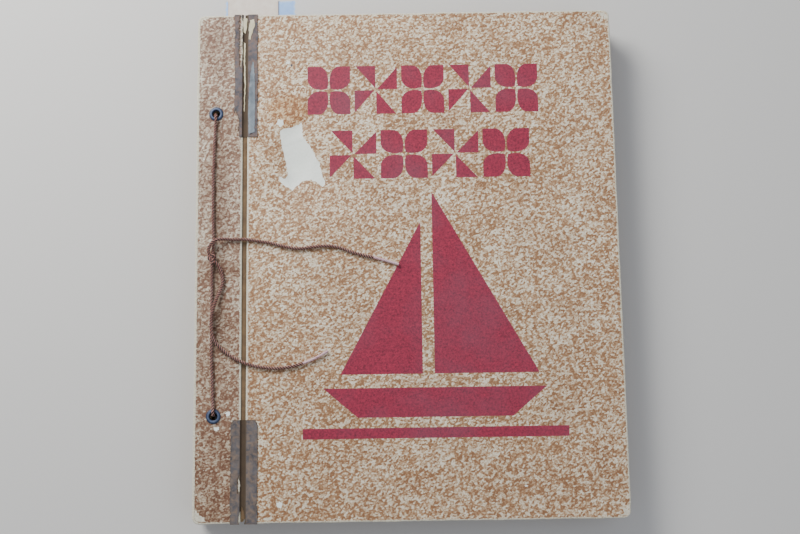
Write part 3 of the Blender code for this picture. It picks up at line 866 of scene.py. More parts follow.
def finish_mesh(name, work):
    """Turn a bmesh into a smooth-shaded object."""
    mesh = bpy.data.meshes.new(name)
    work.to_mesh(mesh)
    work.free()
    mesh.shade_smooth()
    piece = bpy.data.objects.new(name, mesh)
    bpy.context.collection.objects.link(piece)
    return piece


def circle(centre, radius, count=28):
    """Round outline."""
    return [Vector((centre[0] + radius * math.cos(math.tau * n / count),
                    centre[1] + radius * math.sin(math.tau * n / count))) for n in range(count)]


# How far in from the edge and how far below the face, in millimetres, and how worn.
BOARD_EDGE = (
    (0.0, 0.62, 1.0), (0.02, 0.42, 1.0), (0.12, 0.22, 1.0), (0.30, 0.09, 1.0), (0.55, 0.02, 0.85),
    (0.9, 0.0, 0.62), (1.4, 0.0, 0.33), (2.0, 0.0, 0.0),
)
EDGE_REACH = BOARD_EDGE[-1][0]


def board(name, outline, frayed, low_z, high_z, covering, lining, holes=(), patches=(), up_faces=True):
    """Board with softened, worn edges, from its outline seen from above.

    frayed is the same outline with its rough edge, which fades out on the faces. A patch of the
    covering's face is its loop, its finish and how far it is sunk. up_faces is True where the
    covering is on top.
    """
    finishes = [covering, lining]
    for _, finish, _ in patches:
        if finish not in finishes:
            finishes.append(finish)
    work = bmesh.new()
    wear_layer = work.verts.layers.float.new("edge_wear")
    rings = []
    for up in (False, True):
        for in_by, below, wear in (BOARD_EDGE if up else reversed(BOARD_EDGE)):
            z = high_z - below * MM if up else low_z + below * MM
            ring = []
            share = 1.0 - in_by / EDGE_REACH
            handling = 0.3 if in_by == EDGE_REACH else 0.5
            for smooth, rough, here in zip(inset(outline, in_by * MM), frayed, outline):
                x, y = smooth + (rough - here) * share
                vert = work.verts.new((x, y, z))
                handled = in_by > 0 and here.x - STRIP_LOW.x < CORNER_RADIUS
                vert[wear_layer] = min(1.0, wear + handling) if handled else wear
                ring.append(vert)
            rings.append((ring, up))
    for (lower, _), (upper, is_up) in zip(rings, rings[1:]):
        for index in range(len(lower)):
            ahead = (index + 1) % len(lower)
            face = work.faces.new((lower[index], lower[ahead], upper[ahead], upper[index]))
            face.material_index = 0 if is_up == up_faces else 1
    holes = [circle(centre, BOARD_HOLE_RADIUS) for centre in holes]
    inner = inset(outline, EDGE_REACH * MM)
    rims = {}
    for is_up, z, ring in ((True, high_z, rings[-1][0]), (False, low_z, rings[0][0])):
        outer_side = is_up == up_faces
        loops = [loop for loop, _, _ in patches] if outer_side else []
        points, triangles, numbers, order = cut_sheet(inner, holes, loops)
        verts = [None] * len(points)
        for given, vert in enumerate(ring):
            verts[order[given]] = vert
        verts = [vert or work.verts.new((p.x, p.y, z)) for vert, p in zip(verts, points)]
        start = len(ring)
        rims[is_up] = []
        for loop in holes:
            rims[is_up].append([verts[given] for given in order[start:start + len(loop)]])
            start += len(loop)
        for triangle, number in zip(triangles, numbers):
            corners = [verts[i] for i in triangle]
            face = work.faces.new(corners if is_up else corners[::-1])
            base = 0 if outer_side else 1
            face.material_index = finishes.index(patches[number - 1][1]) if number else base
        for loop, _, sink in patches if outer_side else ():
            for given in order[start:start + len(loop)]:
                verts[given].co.z -= sink if is_up else -sink
            start += len(loop)
    for low_rim, high_rim in zip(rims[False], rims[True]):
        for index in range(len(low_rim)):
            ahead = (index + 1) % len(low_rim)
            face = work.faces.new((low_rim[ahead], low_rim[index], high_rim[index], high_rim[ahead]))
            face.material_index = 1
    piece = finish_mesh(name, work)
    piece.data.set_sharp_from_angle(angle=math.radians(50))
    for finish in finishes:
        piece.data.materials.append(finish)
    return piece


# ---------------------------------------------------------------- printed picture

def straight(*points):
    """Corners given in millimetres, as outline points."""
    return [Vector((x * MM, y * MM)) for x, y in points]


def clean_loop(points):
    """Outline without repeated points, turned anticlockwise."""
    kept = []
    for point in points:
        if not kept or (point - kept[-1]).length > 0.05 * MM:
            kept.append(point)
    if (kept[0] - kept[-1]).length < 0.05 * MM:
        kept.pop()
    area = sum(a.x * b.y - b.x * a.y for a, b in zip(kept, kept[1:] + kept[:1]))
    return kept if area > 0 else kept[::-1]


def plain_boat():
    """Generic sailing boat in ink: two straight-sided sails, a hull and a bar for the sea."""
    mainsail = straight((15.0, 40.0), (15.0, -68.0), (76.0, -68.0))
    jib = straight((8.0, 22.0), (8.0, -68.0), (-40.0, -68.0))
    hull = straight((-50.0, -76.0), (80.0, -76.0), (60.0, -93.0), (-30.0, -93.0))
    sea = straight((-62.0, -99.0), (92.0, -99.0), (92.0, -105.0), (-62.0, -105.0))
    return [clean_loop(loop) for loop in (mainsail, jib, hull, sea)]


def ornament_row(count, left, right, low, high, petals_first):
    """Row of plain printer's ornaments, flowers and pinwheels by turns, in a box in millimetres."""
    shapes = []
    half_pitch = (right - left) / count / 2
    for n in range(count):
        centre = Vector((left + (2 * n + 1) * half_pitch, (low + high) / 2))
        size = Vector((half_pitch - 1.3, (high - low) / 2))
        petal = (n % 2 == 0) == petals_first
        for quarter in range(4):
            turn = math.radians(90 * quarter)
            if petal:
                upper = []
                for step in range(13):
                    t = step / 12
                    axis = 0.07 + 0.93 * t
                    bulge = 0.34 * math.sin(math.pi * t) ** 0.8
                    upper.append((axis, bulge))
                shape = [(a - b, a + b) for a, b in upper] + [(a + b, a - b) for a, b in upper[-2:0:-1]]
                shape = [(min(u, 1.0), min(v, 1.0)) for u, v in shape]
            else:
                shape = [(0.06, 0.02), (1.0, 0.02), (1.0, 0.94)]
            points = []
            for u, v in shape:
                x = u * math.cos(turn) - v * math.sin(turn)
                y = u * math.sin(turn) + v * math.cos(turn)
                points.append(Vector(((centre.x + x * size.x) * MM, (centre.y + y * size.y) * MM)))
            shapes.append(clean_loop(points))
    return shapes


def chip(x, y, width, height, seed):
    """Small ragged spot, centred in millimetres, where the paper is scraped off."""
    points = []
    count = 22
    for n in range(count):
        angle = math.tau * n / count
        reach = 0.75 + 0.5 * noise.noise(Vector((math.cos(angle) * 1.6, math.sin(angle) * 1.6, seed)))
        points.append(Vector(((x + width / 2 * reach * math.cos(angle)) * MM,
                              (y + height / 2 * reach * math.sin(angle)) * MM)))
    return points


def worn_corner(outline, corner, reach, seed):
    """Ragged patch that fills a corner of a face, just inside its worn edge."""
    clear = 0.06
    near = [p for p in inset(outline, (EDGE_REACH + clear) * MM) if (p - corner).length < reach]
    if len(near) < 4:
        return []
    start = max(range(len(near)), key=lambda n: (near[n] - near[n - 1]).length)
    near = near[start:] + near[:start]
    first, last = near[-1], near[0]
    middle = (first + last) / 2
    inward = (middle - corner).normalized()
    back = []
    for n in range(1, 16):
        t = n / 16
        rough = noise.noise(Vector((t * 8.0, seed * 3.7, 0.5)))
        depth = (0.6 + 3.0 * rough) * MM * math.sin(math.pi * t)
        back.append(first.lerp(last, t) - inward * (1.0 * MM * math.sin(math.pi * t) - depth))
    return clean_loop(near + back)


def torn_patch():
    """Outline where the covering paper has torn off, with a ragged edge."""
    key = (
        (-75.0, 79.5), (-68.0, 81.0), (-64.5, 82.5), (-62.5, 84.0), (-61.5, 75.0), (-58.0, 70.0),
        (-54.5, 63.5), (-51.5, 57.5), (-50.0, 51.0), (-48.0, 46.5), (-50.0, 44.0), (-52.5, 46.5),
        (-57.5, 48.5), (-63.0, 47.0), (-68.0, 42.0), (-71.5, 44.5), (-74.5, 46.5), (-76.5, 51.0),
        (-72.5, 49.5), (-70.5, 51.5), (-72.0, 59.0), (-74.0, 69.0), (-75.5, 77.0),
    )
    points = []
    for a, b in zip(key, key[1:] + key[:1]):
        steps = max(2, round(math.dist(a, b) / 0.9))
        for n in range(steps):
            t = n / steps
            x, y = a[0] + (b[0] - a[0]) * t, a[1] + (b[1] - a[1]) * t
            shake = Vector((x * 0.45, y * 0.45, 3.0))
            x += 0.5 * noise.noise(shake) + 0.55 * noise.noise(shake * 3.1)
            y += 0.5 * noise.noise(shake + Vector((9, 4, 1))) + 0.55 * noise.noise(shake * 2.7)
            points.append(Vector((x * MM, y * MM)))
    return clean_loop(points)


# ---------------------------------------------------------------- boards

def board_edges(low, high, spine_side, seed):
    """Clean and frayed outline: rough where it is handled, nearly straight along the gutter."""
    low, high = low.copy(), high.copy()
    if spine_side:
        high.x += GUTTER_REACH
    else:
        low.x -= GUTTER_REACH
    radii = [GUTTER_CORNER_RADIUS] * 4
    for corner in ((0, 3) if spine_side else (1, 2)):
        radii[corner] = CORNER_RADIUS
    gutter = high.x if spine_side else low.x

    def amount(point):
        if abs(point.x - gutter) < 2.0 * MM:
            return 0.15 * MM
        near_corner = min(abs(point.y - low.y), abs(point.y - high.y)) < 9 * MM
        return 1.1 * MM if near_corner or spine_side else 0.6 * MM

    clean = rounded_outline(low, high, radii)
    return clean, ragged(clean, seed, amount)


def chips(finish, sink, *spots):
    """Patches of scraped paper, each from (x, y, width, height, seed)."""
    return [(chip(*spot), finish, sink) for spot in spots]


def strip_patches(outline, torn, worn):
    """Scraped spots, a bare line beside the head tape and two worn corners of the front strip."""
    patches = chips(torn, 0.05 * MM, (-105.3, -89.5, 4.4, 3.0, 6), (-111.9, -98.0, 3.8, 3.2, 7),
                    (-121.0, 62.0, 1.6, 1.2, 8))
    beside_tape = [(-101.0, 150.0), (-100.6, 150.0), (-100.5, 118.4), (-101.1, 126.0), (-101.5, 138.0)]
    patches.append((scrap_outline(beside_tape, 4.0), worn, 0.0))
    for y, reach, seed in ((STRIP_LOW.y, 9.5, 11), (STRIP_HIGH.y, 8, 12)):
        corner = Vector((STRIP_LOW.x, y))
        patches.append((worn_corner(outline, corner, reach * MM, seed), worn, 0.0))
    return patches


def cover_patches(outline, ink, torn, worn, spot):
    """Printed picture, torn patch, scraped spots, worn corners and an ink spot of the front cover."""
    loops = plain_boat()
    loops += ornament_row(5, -60.0, 81.8, 88.6, 118.6, True)
    loops += ornament_row(4, -46.9, 75.7, 48.6, 78.4, False)
    patches = [(loop, ink, 0.0) for loop in loops]
    tear = torn_patch()
    patches += [(tear, torn, 0.0), (inset(tear, 0.35 * MM), torn, 0.16 * MM)]
    patches += chips(torn, 0.05 * MM, (-70.5, 121.5, 3.4, 2.4, 1), (-75.4, 84.0, 5.6, 5.4, 21),
                     (-75.5, -141.5, 4.6, 4.0, 3), (66.0, -133.0, 2.2, 1.6, 4), (98.0, 69.5, 2.0, 1.6, 5))
    for corner, reach, seed in (
        ((COVER_HIGH.x, COVER_HIGH.y), 8, 2), ((COVER_HIGH.x, COVER_LOW.y), 8, 3),
        ((COVER_LOW.x, COVER_LOW.y), 9, 6),
    ):
        patches.append((worn_corner(outline, Vector(corner), reach * MM, seed), worn, 0.0))
    patches += chips(worn, 0.0, (-82.2, -149.4, 6.4, 1.9, 16))
    patches += chips(spot, 0.0, (-68.4, 119.8, 1.7, 1.6, 15))
    return patches


def make_boards():
    """Strip and cover board of the front and the back, in speckled paper over pulp board."""
    cover_paper = speckled_paper(
        "speckled_board_paper", ("956C4A", "B38D68", "CBAD8C", "E3D5B9", "F5EEDB"), 0.3)
    # The strip's copy of the paper is darker and more soiled: partly handling grime, partly painted shade.
    strip_paper = speckled_paper(
        "handled_and_shaded_board_paper", ("7F5B47", "947560", "AA917B", "C4B5A0", "DED6C4"), 0.7)
    lining = uncoated_paper("manila_lining_paper", "B79C74", "CDB48C", "93744E")
    ink = red_ink()
    torn = bare_pulp("freshly_torn_pulp_board", "EFF6EC", "FAFFF8")
    worn = bare_pulp("worn_pulp_board", "C6C0AA", "E6E1CF")
    spot = bare_pulp("dark_ink_spot", "3A3B42", "565761")
    strip_edges = board_edges(STRIP_LOW, STRIP_HIGH, True, 1)
    cover_edges = board_edges(COVER_LOW, COVER_HIGH, False, 9)
    back_strip_edges = board_edges(BACK_STRIP_LOW, BACK_STRIP_HIGH, True, 5)
    back_cover_edges = board_edges(BACK_COVER_LOW, BACK_COVER_HIGH, False, 13)
    front_strip = board(
        "front_strip_board", *strip_edges, STRIP_LOW.z, STRIP_HIGH.z, strip_paper, lining,
        holes=LACING_HOLES, patches=strip_patches(strip_edges[0], torn, worn))
    back_strip = board(
        "back_strip_board", *back_strip_edges, BACK_STRIP_LOW.z, BACK_STRIP_HIGH.z, strip_paper, lining,
        holes=LACING_HOLES, up_faces=False)
    front_cover = board(
        "front_cover_board", *cover_edges, COVER_LOW.z, COVER_HIGH.z, cover_paper, lining,
        patches=cover_patches(cover_edges[0], ink, torn, worn, spot))
    back_cover = board(
        "back_cover_board", *back_cover_edges, BACK_COVER_LOW.z, BACK_COVER_HIGH.z, cover_paper, lining,
        up_faces=False)
    for piece, body, node in (
        (front_strip, "binding", "front_strip"), (back_strip, "binding", "back_strip"),
        (front_cover, "front_cover", "front_cover"), (back_cover, "back_cover", "back_cover"),
    ):
        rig.ride(piece, body)
        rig.replaces(piece, node)
        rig.slot(piece, "speckled_board")


# ---------------------------------------------------------------- eyelets

# Section of a set eyelet: radius and height from the board's outer face, in millimetres, and wear.
EYELET_SECTION = (
    (2.25, -1.90, 0.0), (2.25, -0.60, 0.0), (2.25, 0.10, 0.0), (2.30, 0.38, 0.1), (2.44, 0.58, 0.4),
    (2.68, 0.71, 0.8), (2.95, 0.75, 1.0), (3.30, 0.72, 0.9), (3.70, 0.62, 0.6), (4.02, 0.48, 0.3),
    (4.22, 0.36, 0.2), (4.30, 0.24, 0.3), (4.26, 0.14, 0.2), (4.10, 0.10, 0.0), (2.60, 0.14, 0.0),
    (2.60, -1.80, 0.0), (3.36, -1.82, 0.0), (3.50, -1.95, 0.3), (3.46, -2.10, 0.5), (3.20, -2.20, 0.5),
    (2.60, -2.20, 0.3), (2.34, -2.08, 0.1),
)


def make_eyelets():
    """Four japanned eyelets, two in each strip, turned from one section."""
    steel = japanned_steel()
    steps = 48
    for side, face_z, facing in (("front", STRIP_HIGH.z, 1), ("back", BACK_STRIP_LOW.z, -1)):
        for end, centre in EYELET_CENTRES.items():
            work = bmesh.new()
            wear_layer = work.verts.layers.float.new("edge_wear")
            rings = []
            for step in range(steps):
                angle = math.tau * step / steps
                ring = []
                for radius, height, wear in EYELET_SECTION:
                    vert = work.verts.new((
                        centre.x + radius * MM * math.cos(angle),
                        centre.y + radius * MM * math.sin(angle), face_z + facing * height * MM))
                    vert[wear_layer] = wear
                    ring.append(vert)
                rings.append(ring)
            for here, ahead in zip(rings, rings[1:] + rings[:1]):
                for index in range(len(here)):
                    after = (index + 1) % len(here)
                    work.faces.new((here[index], ahead[index], ahead[after], here[after]))
            bmesh.ops.recalc_face_normals(work, faces=work.faces[:])
            piece = finish_mesh(f"{side}_eyelet_{end}_set", work)
            piece.data.set_sharp_from_angle(angle=math.radians(55))
            piece.data.materials.append(steel)
            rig.ride(piece, "binding")
            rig.replaces(piece, f"{side}_eyelet_{end}")
            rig.slot(piece, "blackened_eyelet")


# ---------------------------------------------------------------- cloth at the hinges

def ribbon(name, path, thickness, y_low, y_high, seed, finish, roughness=0.03, kept=None, step=1.0,
           fold_shade=None):
    """Strip of cloth that follows a section path of (x, z), with slightly uneven faces.

    kept(x, y) is False where the cloth has worn through. fold_shade is the (low, high) x of its crease, whose top face
    gets painted shade; with it, the torn edges get lighter painted shade too.
    In millimetres, roughness is how uneven the faces are, and step is how far apart the rows are.
    """
    fine = smooth_route([(x, 0.0, z) for x, z in path], 5)
    normals = []
    for before, after in zip(fine[:1] + fine[:-1], fine[1:] + fine[-1:]):
        along = (after - before).normalized()
        normals.append(Vector((-along.z, 0.0, along.x)))
    rows = max(2, round((y_high - y_low) / (step * MM)))
    work = bmesh.new()
    fold_shade_layer = work.verts.layers.float.new("fold_shade")
    upper, lower = [], []
    for row in range(rows + 1):
        y = y_low + (y_high - y_low) * row / rows
        above, below = [], []
        for point, normal in zip(fine, normals):
            spot = Vector((point.x / (7 * MM), y / (7 * MM), seed))
            lift = roughness * MM * noise.noise(spot)
            place = Vector((point.x, y, point.z)) + normal * lift
            above.append(work.verts.new(place + normal * thickness / 2))
            below.append(work.verts.new(place - normal * thickness / 2))
            # Painted shade on the top face inside the gutter crease.
            if fold_shade and fold_shade[0] < point.x < fold_shade[1]:
                above[-1][fold_shade_layer] = 1.0
        upper.append(above)
        lower.append(below)
    columns = len(fine) - 1

    def present(row, column):
        if not (0 <= row < rows and 0 <= column < columns):
            return False
        if kept is None:
            return True
        y = y_low + (y_high - y_low) * (row + 0.5) / rows
        return kept((fine[column].x + fine[column + 1].x) / 2, y)

    for row in range(rows):
        for column in range(columns):
            if not present(row, column):
                continue
            u, v = upper, lower
            a, b = row + 1, column + 1
            work.faces.new((u[row][column], u[row][b], u[a][b], u[a][column]))
            work.faces.new((v[row][column], v[a][column], v[a][b], v[row][b]))
            if not present(row - 1, column):
                work.faces.new((v[row][column], v[row][b], u[row][b], u[row][column]))
            if not present(row + 1, column):
                work.faces.new((v[a][b], v[a][column], u[a][column], u[a][b]))
            if not present(row, column - 1):
                work.faces.new((v[a][column], v[row][column], u[row][column], u[a][column]))
            if not present(row, column + 1):
                work.faces.new((v[row][b], v[a][b], u[a][b], u[row][b]))
    loose = [vert for vert in work.verts if not vert.link_faces]
    bmesh.ops.delete(work, geom=loose, context="VERTS")
    # Painted shade, a little lighter, on points beside the small upright faces of torn edges.
    if fold_shade:
        for vert in work.verts:
            if any(abs(face.normal.z) < 0.3 and face.calc_area() < 0.5 * MM**2 for face in vert.link_faces):
                vert[fold_shade_layer] = max(0.6, vert[fold_shade_layer])
    piece = finish_mesh(name, work)
    piece.data.set_sharp_from_angle(angle=math.radians(50))
    piece.data.materials.append(finish)
    return piece


def make_hinge_cloths():
    """Cloth hinge glued inside each cover; it bends in the gutter."""
    cloth = woven_cloth("brown_hinge_cloth", "5C4630", "7E6545", 0.36 * MM, "98825F", 0.0)
    strip_end = STRIP_EDGE - 8.6 * MM
    cover_end = COVER_EDGE + 14.5 * MM
    under = FRONT_INNER - 0.5 * MM
    raised = TOP - 1.0 * MM
    front = ribbon(
        "front_hinge_cloth_strip",
        ((strip_end, under), (STRIP_EDGE - 4.1 * MM, under), (STRIP_EDGE + 0.45 * MM, under),
         (STRIP_EDGE + 0.80 * MM, raised - 0.2 * MM), (STRIP_EDGE + 1.3 * MM, raised),
         (COVER_EDGE - 1.3 * MM, raised), (COVER_EDGE - 0.80 * MM, raised - 0.2 * MM),
         (COVER_EDGE - 0.45 * MM, under), (COVER_EDGE + 4.0 * MM, under), (cover_end, under)),
        CLOTH_THICKNESS, -CLOTH_HALF_LENGTH, CLOTH_HALF_LENGTH, 2.0, cloth, step=1.5)
    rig.blend(
        front, "binding", "front_cover",
        (STRIP_EDGE - 0.3 * MM, 0, under), (COVER_EDGE + 0.8 * MM, 0, under))
    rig.sheet(
        front, flat=(0.027, 0.299), held="stretched",
        rests_on=["front_strip_board", "front_cover_board"])
    strip_z = BACK_STRIP_HIGH.z + 0.5 * MM
    cover_z = BACK_COVER_HIGH.z + 0.5 * MM
    back = ribbon(
        "back_hinge_cloth_strip",
        ((strip_end, strip_z), (STRIP_EDGE - 4.1 * MM, strip_z), (STRIP_EDGE + 0.3 * MM, strip_z),
         (COVER_EDGE - 1.0 * MM, (strip_z + cover_z) / 2), (COVER_EDGE + 1.5 * MM, cover_z),
         (COVER_EDGE + 6.0 * MM, cover_z), (cover_end, cover_z)),
        CLOTH_THICKNESS, -CLOTH_HALF_LENGTH, CLOTH_HALF_LENGTH, 6.0, cloth, step=1.5)
    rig.blend(
        back, "binding", "back_cover",
        (STRIP_EDGE - 0.3 * MM, 0, strip_z), (COVER_EDGE + 1.5 * MM, 0, strip_z))
    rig.sheet(
        back, flat=(0.0275, 0.299), held="stretched",
        rests_on=["back_strip_board", "back_cover_board"])
    for piece, node in ((front, "front_hinge_cloth"), (back, "back_hinge_cloth")):
        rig.replaces(piece, node)
        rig.slot(piece, "hinge_cloth")


def tape_section(left, right, face, dip):
    """Section of a tape that is stuck to both boards and dips into the gutter."""
    return (
        (left, face), (left + 1.5 * MM, face), (STRIP_EDGE - 0.5 * MM, face),
        (STRIP_EDGE + 0.25 * MM, face - 0.25 * MM), (STRIP_EDGE + 0.75 * MM, dip + 0.1 * MM),
        ((STRIP_EDGE + COVER_EDGE) / 2, dip), (COVER_EDGE - 0.75 * MM, dip + 0.1 * MM),
        (COVER_EDGE - 0.25 * MM, face - 0.25 * MM), (COVER_EDGE + 0.5 * MM, face),
        (right - 1.5 * MM, face), (right, face),
    )


def surviving_tape(windows, seed, high, left, right, corner):
    """Where a tape survives: outside ragged windows and inside its own ragged outline.

    A window is its low and high x and its low and high y, and it tapers to both ends. corner is how
    much of the two corners at the high end is cut off.
    """
    taper_length = 6 * MM

    def kept(x, y):
        shake = 0.5 * MM * noise.noise(Vector((x / (1.6 * MM), y / (1.6 * MM), seed)))
        slow = 0.5 * MM * noise.noise(Vector((0.0, y / (9 * MM), seed + 5)))
        pull = 0.5 * max(0.0, corner - (high - y))
        edge = 0.5 * MM + pull
        if not left + edge + shake + slow <= x <= right - edge + shake + slow:
            return False
        for x0, x1, y0, y1 in windows:
            taper = min(1.0, (y - y0) / taper_length, (y1 - y) / taper_length)
            middle, half = (x0 + x1) / 2, (x1 - x0) / 2 * taper
            if taper > 0 and abs(x - middle + 0.8 * shake) < half:
                return False
        return True
    return kept


def make_tapes():
    """Cloth mending tape over the gutter at the head and the foot, torn where it has flexed."""
    head_tape = woven_cloth("grey_mending_tape", "3C3C43", "6C6B72", 0.5 * MM, "836A5E", 0.17)
    foot_tape = woven_cloth("brown_mending_tape", "3F3C40", "6E6A6C", 0.5 * MM, "86715F", 0.15)
    face = TOP + 0.32 * MM
    dip = TOP - 0.75 * MM
    # x range of the gutter crease, where the tapes get painted shade.
    fold_shade = (STRIP_EDGE + 0.1 * MM, COVER_EDGE - 0.1 * MM)
    tapes = {}
    for node, name, finish, left, right, seed, windows, corner in (
        ("mending_tape_head", "head_mending_tape", head_tape, -0.1034, -0.0885, 3.0, (
            (-0.1003, -0.0983, 0.1185, 0.1535), (-0.0986, -0.0957, 0.1405, 0.1535),
            (-0.0948, -0.0932, 0.1365, 0.1490), (-0.1040, -0.1003, 0.0700, 0.0925),
        ), 0.0),
        ("mending_tape_foot", "foot_mending_tape", foot_tape, -0.1042, -0.0876, 8.0, (
            (-0.0997, -0.0981, -0.1365, -0.1235), (-0.0990, -0.0950, -0.1560, -0.1420),
        ), 2.5 * MM),
    ):
        low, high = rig.box(node)
        tapes[node] = ribbon(
            name, tape_section(left, right, face, dip), TAPE_THICKNESS, low.y, high.y, seed, finish,
            kept=surviving_tape(windows, seed - 1.0, high.y, left, right, corner),
            step=0.6, roughness=0.05, fold_shade=fold_shade)
    scraps = make_scraps(face, dip)
    for node, piece in tapes.items():
        low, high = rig.box(node)
        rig.blend(
            piece, "binding", "front_cover",
            (STRIP_EDGE - 0.2 * MM, 0, face), (COVER_EDGE + 0.2 * MM, 0, face))
        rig.sheet(
            piece, flat=(0.017, high.y - low.y), held="laid",
            rests_on=["front_strip_board", "front_cover_board"],
            with_pieces=scraps if node == "mending_tape_head" else ())
        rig.replaces(piece, node)
        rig.slot(piece, "mending_tape")


def scrap_outline(points, seed):
    """Ragged outline through corners given in millimetres."""
    loop = []
    for a, b in zip(points, points[1:] + points[:1]):
        count = max(2, round(math.dist(a, b) / 0.8))
        for n in range(count):
            t = n / count
            x, y = a[0] + (b[0] - a[0]) * t, a[1] + (b[1] - a[1]) * t
            shake = Vector((x * 0.8, y * 0.8, seed))
            loop.append(Vector(((x + 0.35 * noise.noise(shake)) * MM,
                                (y + 0.45 * noise.noise(shake + Vector((5, 2, 1)))) * MM)))
    return clean_loop(loop)


def make_scraps(face, dip):
    """Torn paper that sticks to the head tape, and the strip of tape that folded over on itself."""
    pulp = uncoated_paper("torn_tape_backing", "C9C0A0", "E0D9BF", "B8A47A")
    folded_cloth = woven_cloth("folded_tape_face", "66707A", "9BA6AF", 0.5 * MM, "B0B6BC", 0.02)
    in_gutter = dip + 0.22 * MM
    on_flap = face + 0.16 * MM
    left, right = STRIP_EDGE / MM, COVER_EDGE / MM
    pieces = []
    for name, corners, heights, finish, in_fold in (
        ("gutter_backing_sliver", [
            (-97.5, 135.0), (-96.4, 134.0), (-96.6, 121.0), (-96.1, 108.0), (-96.9, 91.0), (-97.3, 91.5),
            (-97.0, 108.0), (-97.6, 121.0)], [lambda x: in_gutter], pulp, True),
        ("gutter_backing_patch", [
            (left + 0.3, 150.6), (right - 1.0, 150.2), (right - 1.1, 144.0), (-96.6, 140.2),
            (left + 0.5, 141.5)], [lambda x: in_gutter], pulp, True),
        ("flap_backing_patch", [
            (-93.6, 148.8), (-91.2, 149.2), (-90.6, 146.0), (-91.9, 141.5), (-93.6, 135.8), (-94.5, 136.6),
            (-94.2, 142.0)], [lambda x: on_flap], pulp, False),
        ("folded_tape_strip", [
            (-92.2, 122.4), (-91.2, 122.0), (-90.6, 110.0), (-90.4, 95.0), (-90.7, 78.0), (-94.0, 77.2),
            (-94.5, 90.0), (-94.1, 105.0), (-93.2, 114.0)],
            [lambda x: on_flap + 0.5 * MM * ease((-0.0912 - x) / (2.6 * MM))], folded_cloth, False),
    ):
        outline = scrap_outline(corners, len(name) * 1.3)
        bends = [-0.0940 + n * 0.5 * MM for n in range(7)] if name == "folded_tape_strip" else []
        piece = paper(name, outline, SHEET_THICKNESS, heights, finish, bends=bends, seed=len(name),
                      wave=0.12, spacing=1.6, rim_by=0.3, rough=0.1)
        if in_fold:
            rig.blend(
                piece, "binding", "front_cover",
                (STRIP_EDGE - 0.2 * MM, 0, face), (COVER_EDGE + 0.2 * MM, 0, face))
        else:
            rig.ride(piece, "front_cover")
        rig.slot(piece, "mending_tape")
        pieces.append(piece)
    return pieces


# ---------------------------------------------------------------- leaves and tucked papers

def paper(name, outline, thickness, heights, finish, holes=(), bends=(), seed=0, wave=0.08, spacing=9.0,
          rim_by=1.5, rough=0.45):
    """Thin sheets of one outline, one above another, each with a gentle wave.

    heights are functions that give the underside's z from x. bends are x values that get a column.
    In millimetres, wave is how high a sheet ripples, spacing is how far apart its points are, rim_by
    is how wide its browned rim is, and rough is how far its edge wanders.
    """
    work = bmesh.new()
    wear_layer = work.verts.layers.float.new("edge_wear")
    xs = [p.x for p in outline]
    ys = [p.y for p in outline]
    inner_columns = list(bends)
    x = min(xs) + spacing * MM
    while x < max(xs) - spacing * MM / 3:
        if all(abs(x - bend) > spacing * MM / 4 for bend in bends):
            inner_columns.append(x)
        x += spacing * MM
    interior = []
    y = min(ys) + spacing * MM
    while y < max(ys) - spacing * MM / 3:
        interior += [Vector((column, y)) for column in inner_columns]
        y += spacing * MM
    rim = inset(outline, rim_by * MM)
    loops = [circle(centre, LEAF_HOLE_RADIUS, 20) for centre in holes]
    clear = LEAF_HOLE_RADIUS + 1 * MM
    interior = [p for p in interior if all((p - Vector(centre)).length > clear for centre in holes)]
    for number, height in enumerate(heights):
        uneven = ragged(outline, seed + number * 17, lambda point: rough * MM)
        points, triangles, _, order = cut_sheet(uneven, loops, (), rim + interior)
        ring_sets = [order[:len(uneven)]]
        start = len(uneven)
        for loop in loops:
            ring_sets.append(order[start:start + len(loop)])
            start += len(loop)
        edge_ids = set(ring_sets[0])
        layers = []
        for lift in (0.0, thickness):
            verts = []
            for index, p in enumerate(points):
                ripple = wave * MM * noise.noise(Vector((p.x * 14, p.y * 14, seed * 0.37)))
                vert = work.verts.new((p.x, p.y, height(p.x) + lift + ripple))
                vert[wear_layer] = 1.0 if index in edge_ids else 0.0
                verts.append(vert)
            layers.append(verts)
        low, high = layers
        for triangle in triangles:
            work.faces.new([high[i] for i in triangle])
            work.faces.new([low[i] for i in reversed(triangle)])
        for ring_number, ring in enumerate(ring_sets):
            for here, ahead in zip(ring, ring[1:] + ring[:1]):
                corners = (low[here], low[ahead], high[ahead], high[here])
                work.faces.new(corners if ring_number == 0 else corners[::-1])
    loose = [vert for vert in work.verts if not vert.link_faces]
    bmesh.ops.delete(work, geom=loose, context="VERTS")
    bmesh.ops.recalc_face_normals(work, faces=work.faces[:])
    piece = finish_mesh(name, work)
    piece.data.set_sharp_from_angle(angle=math.radians(60))
    piece.data.materials.append(finish)
    return piece


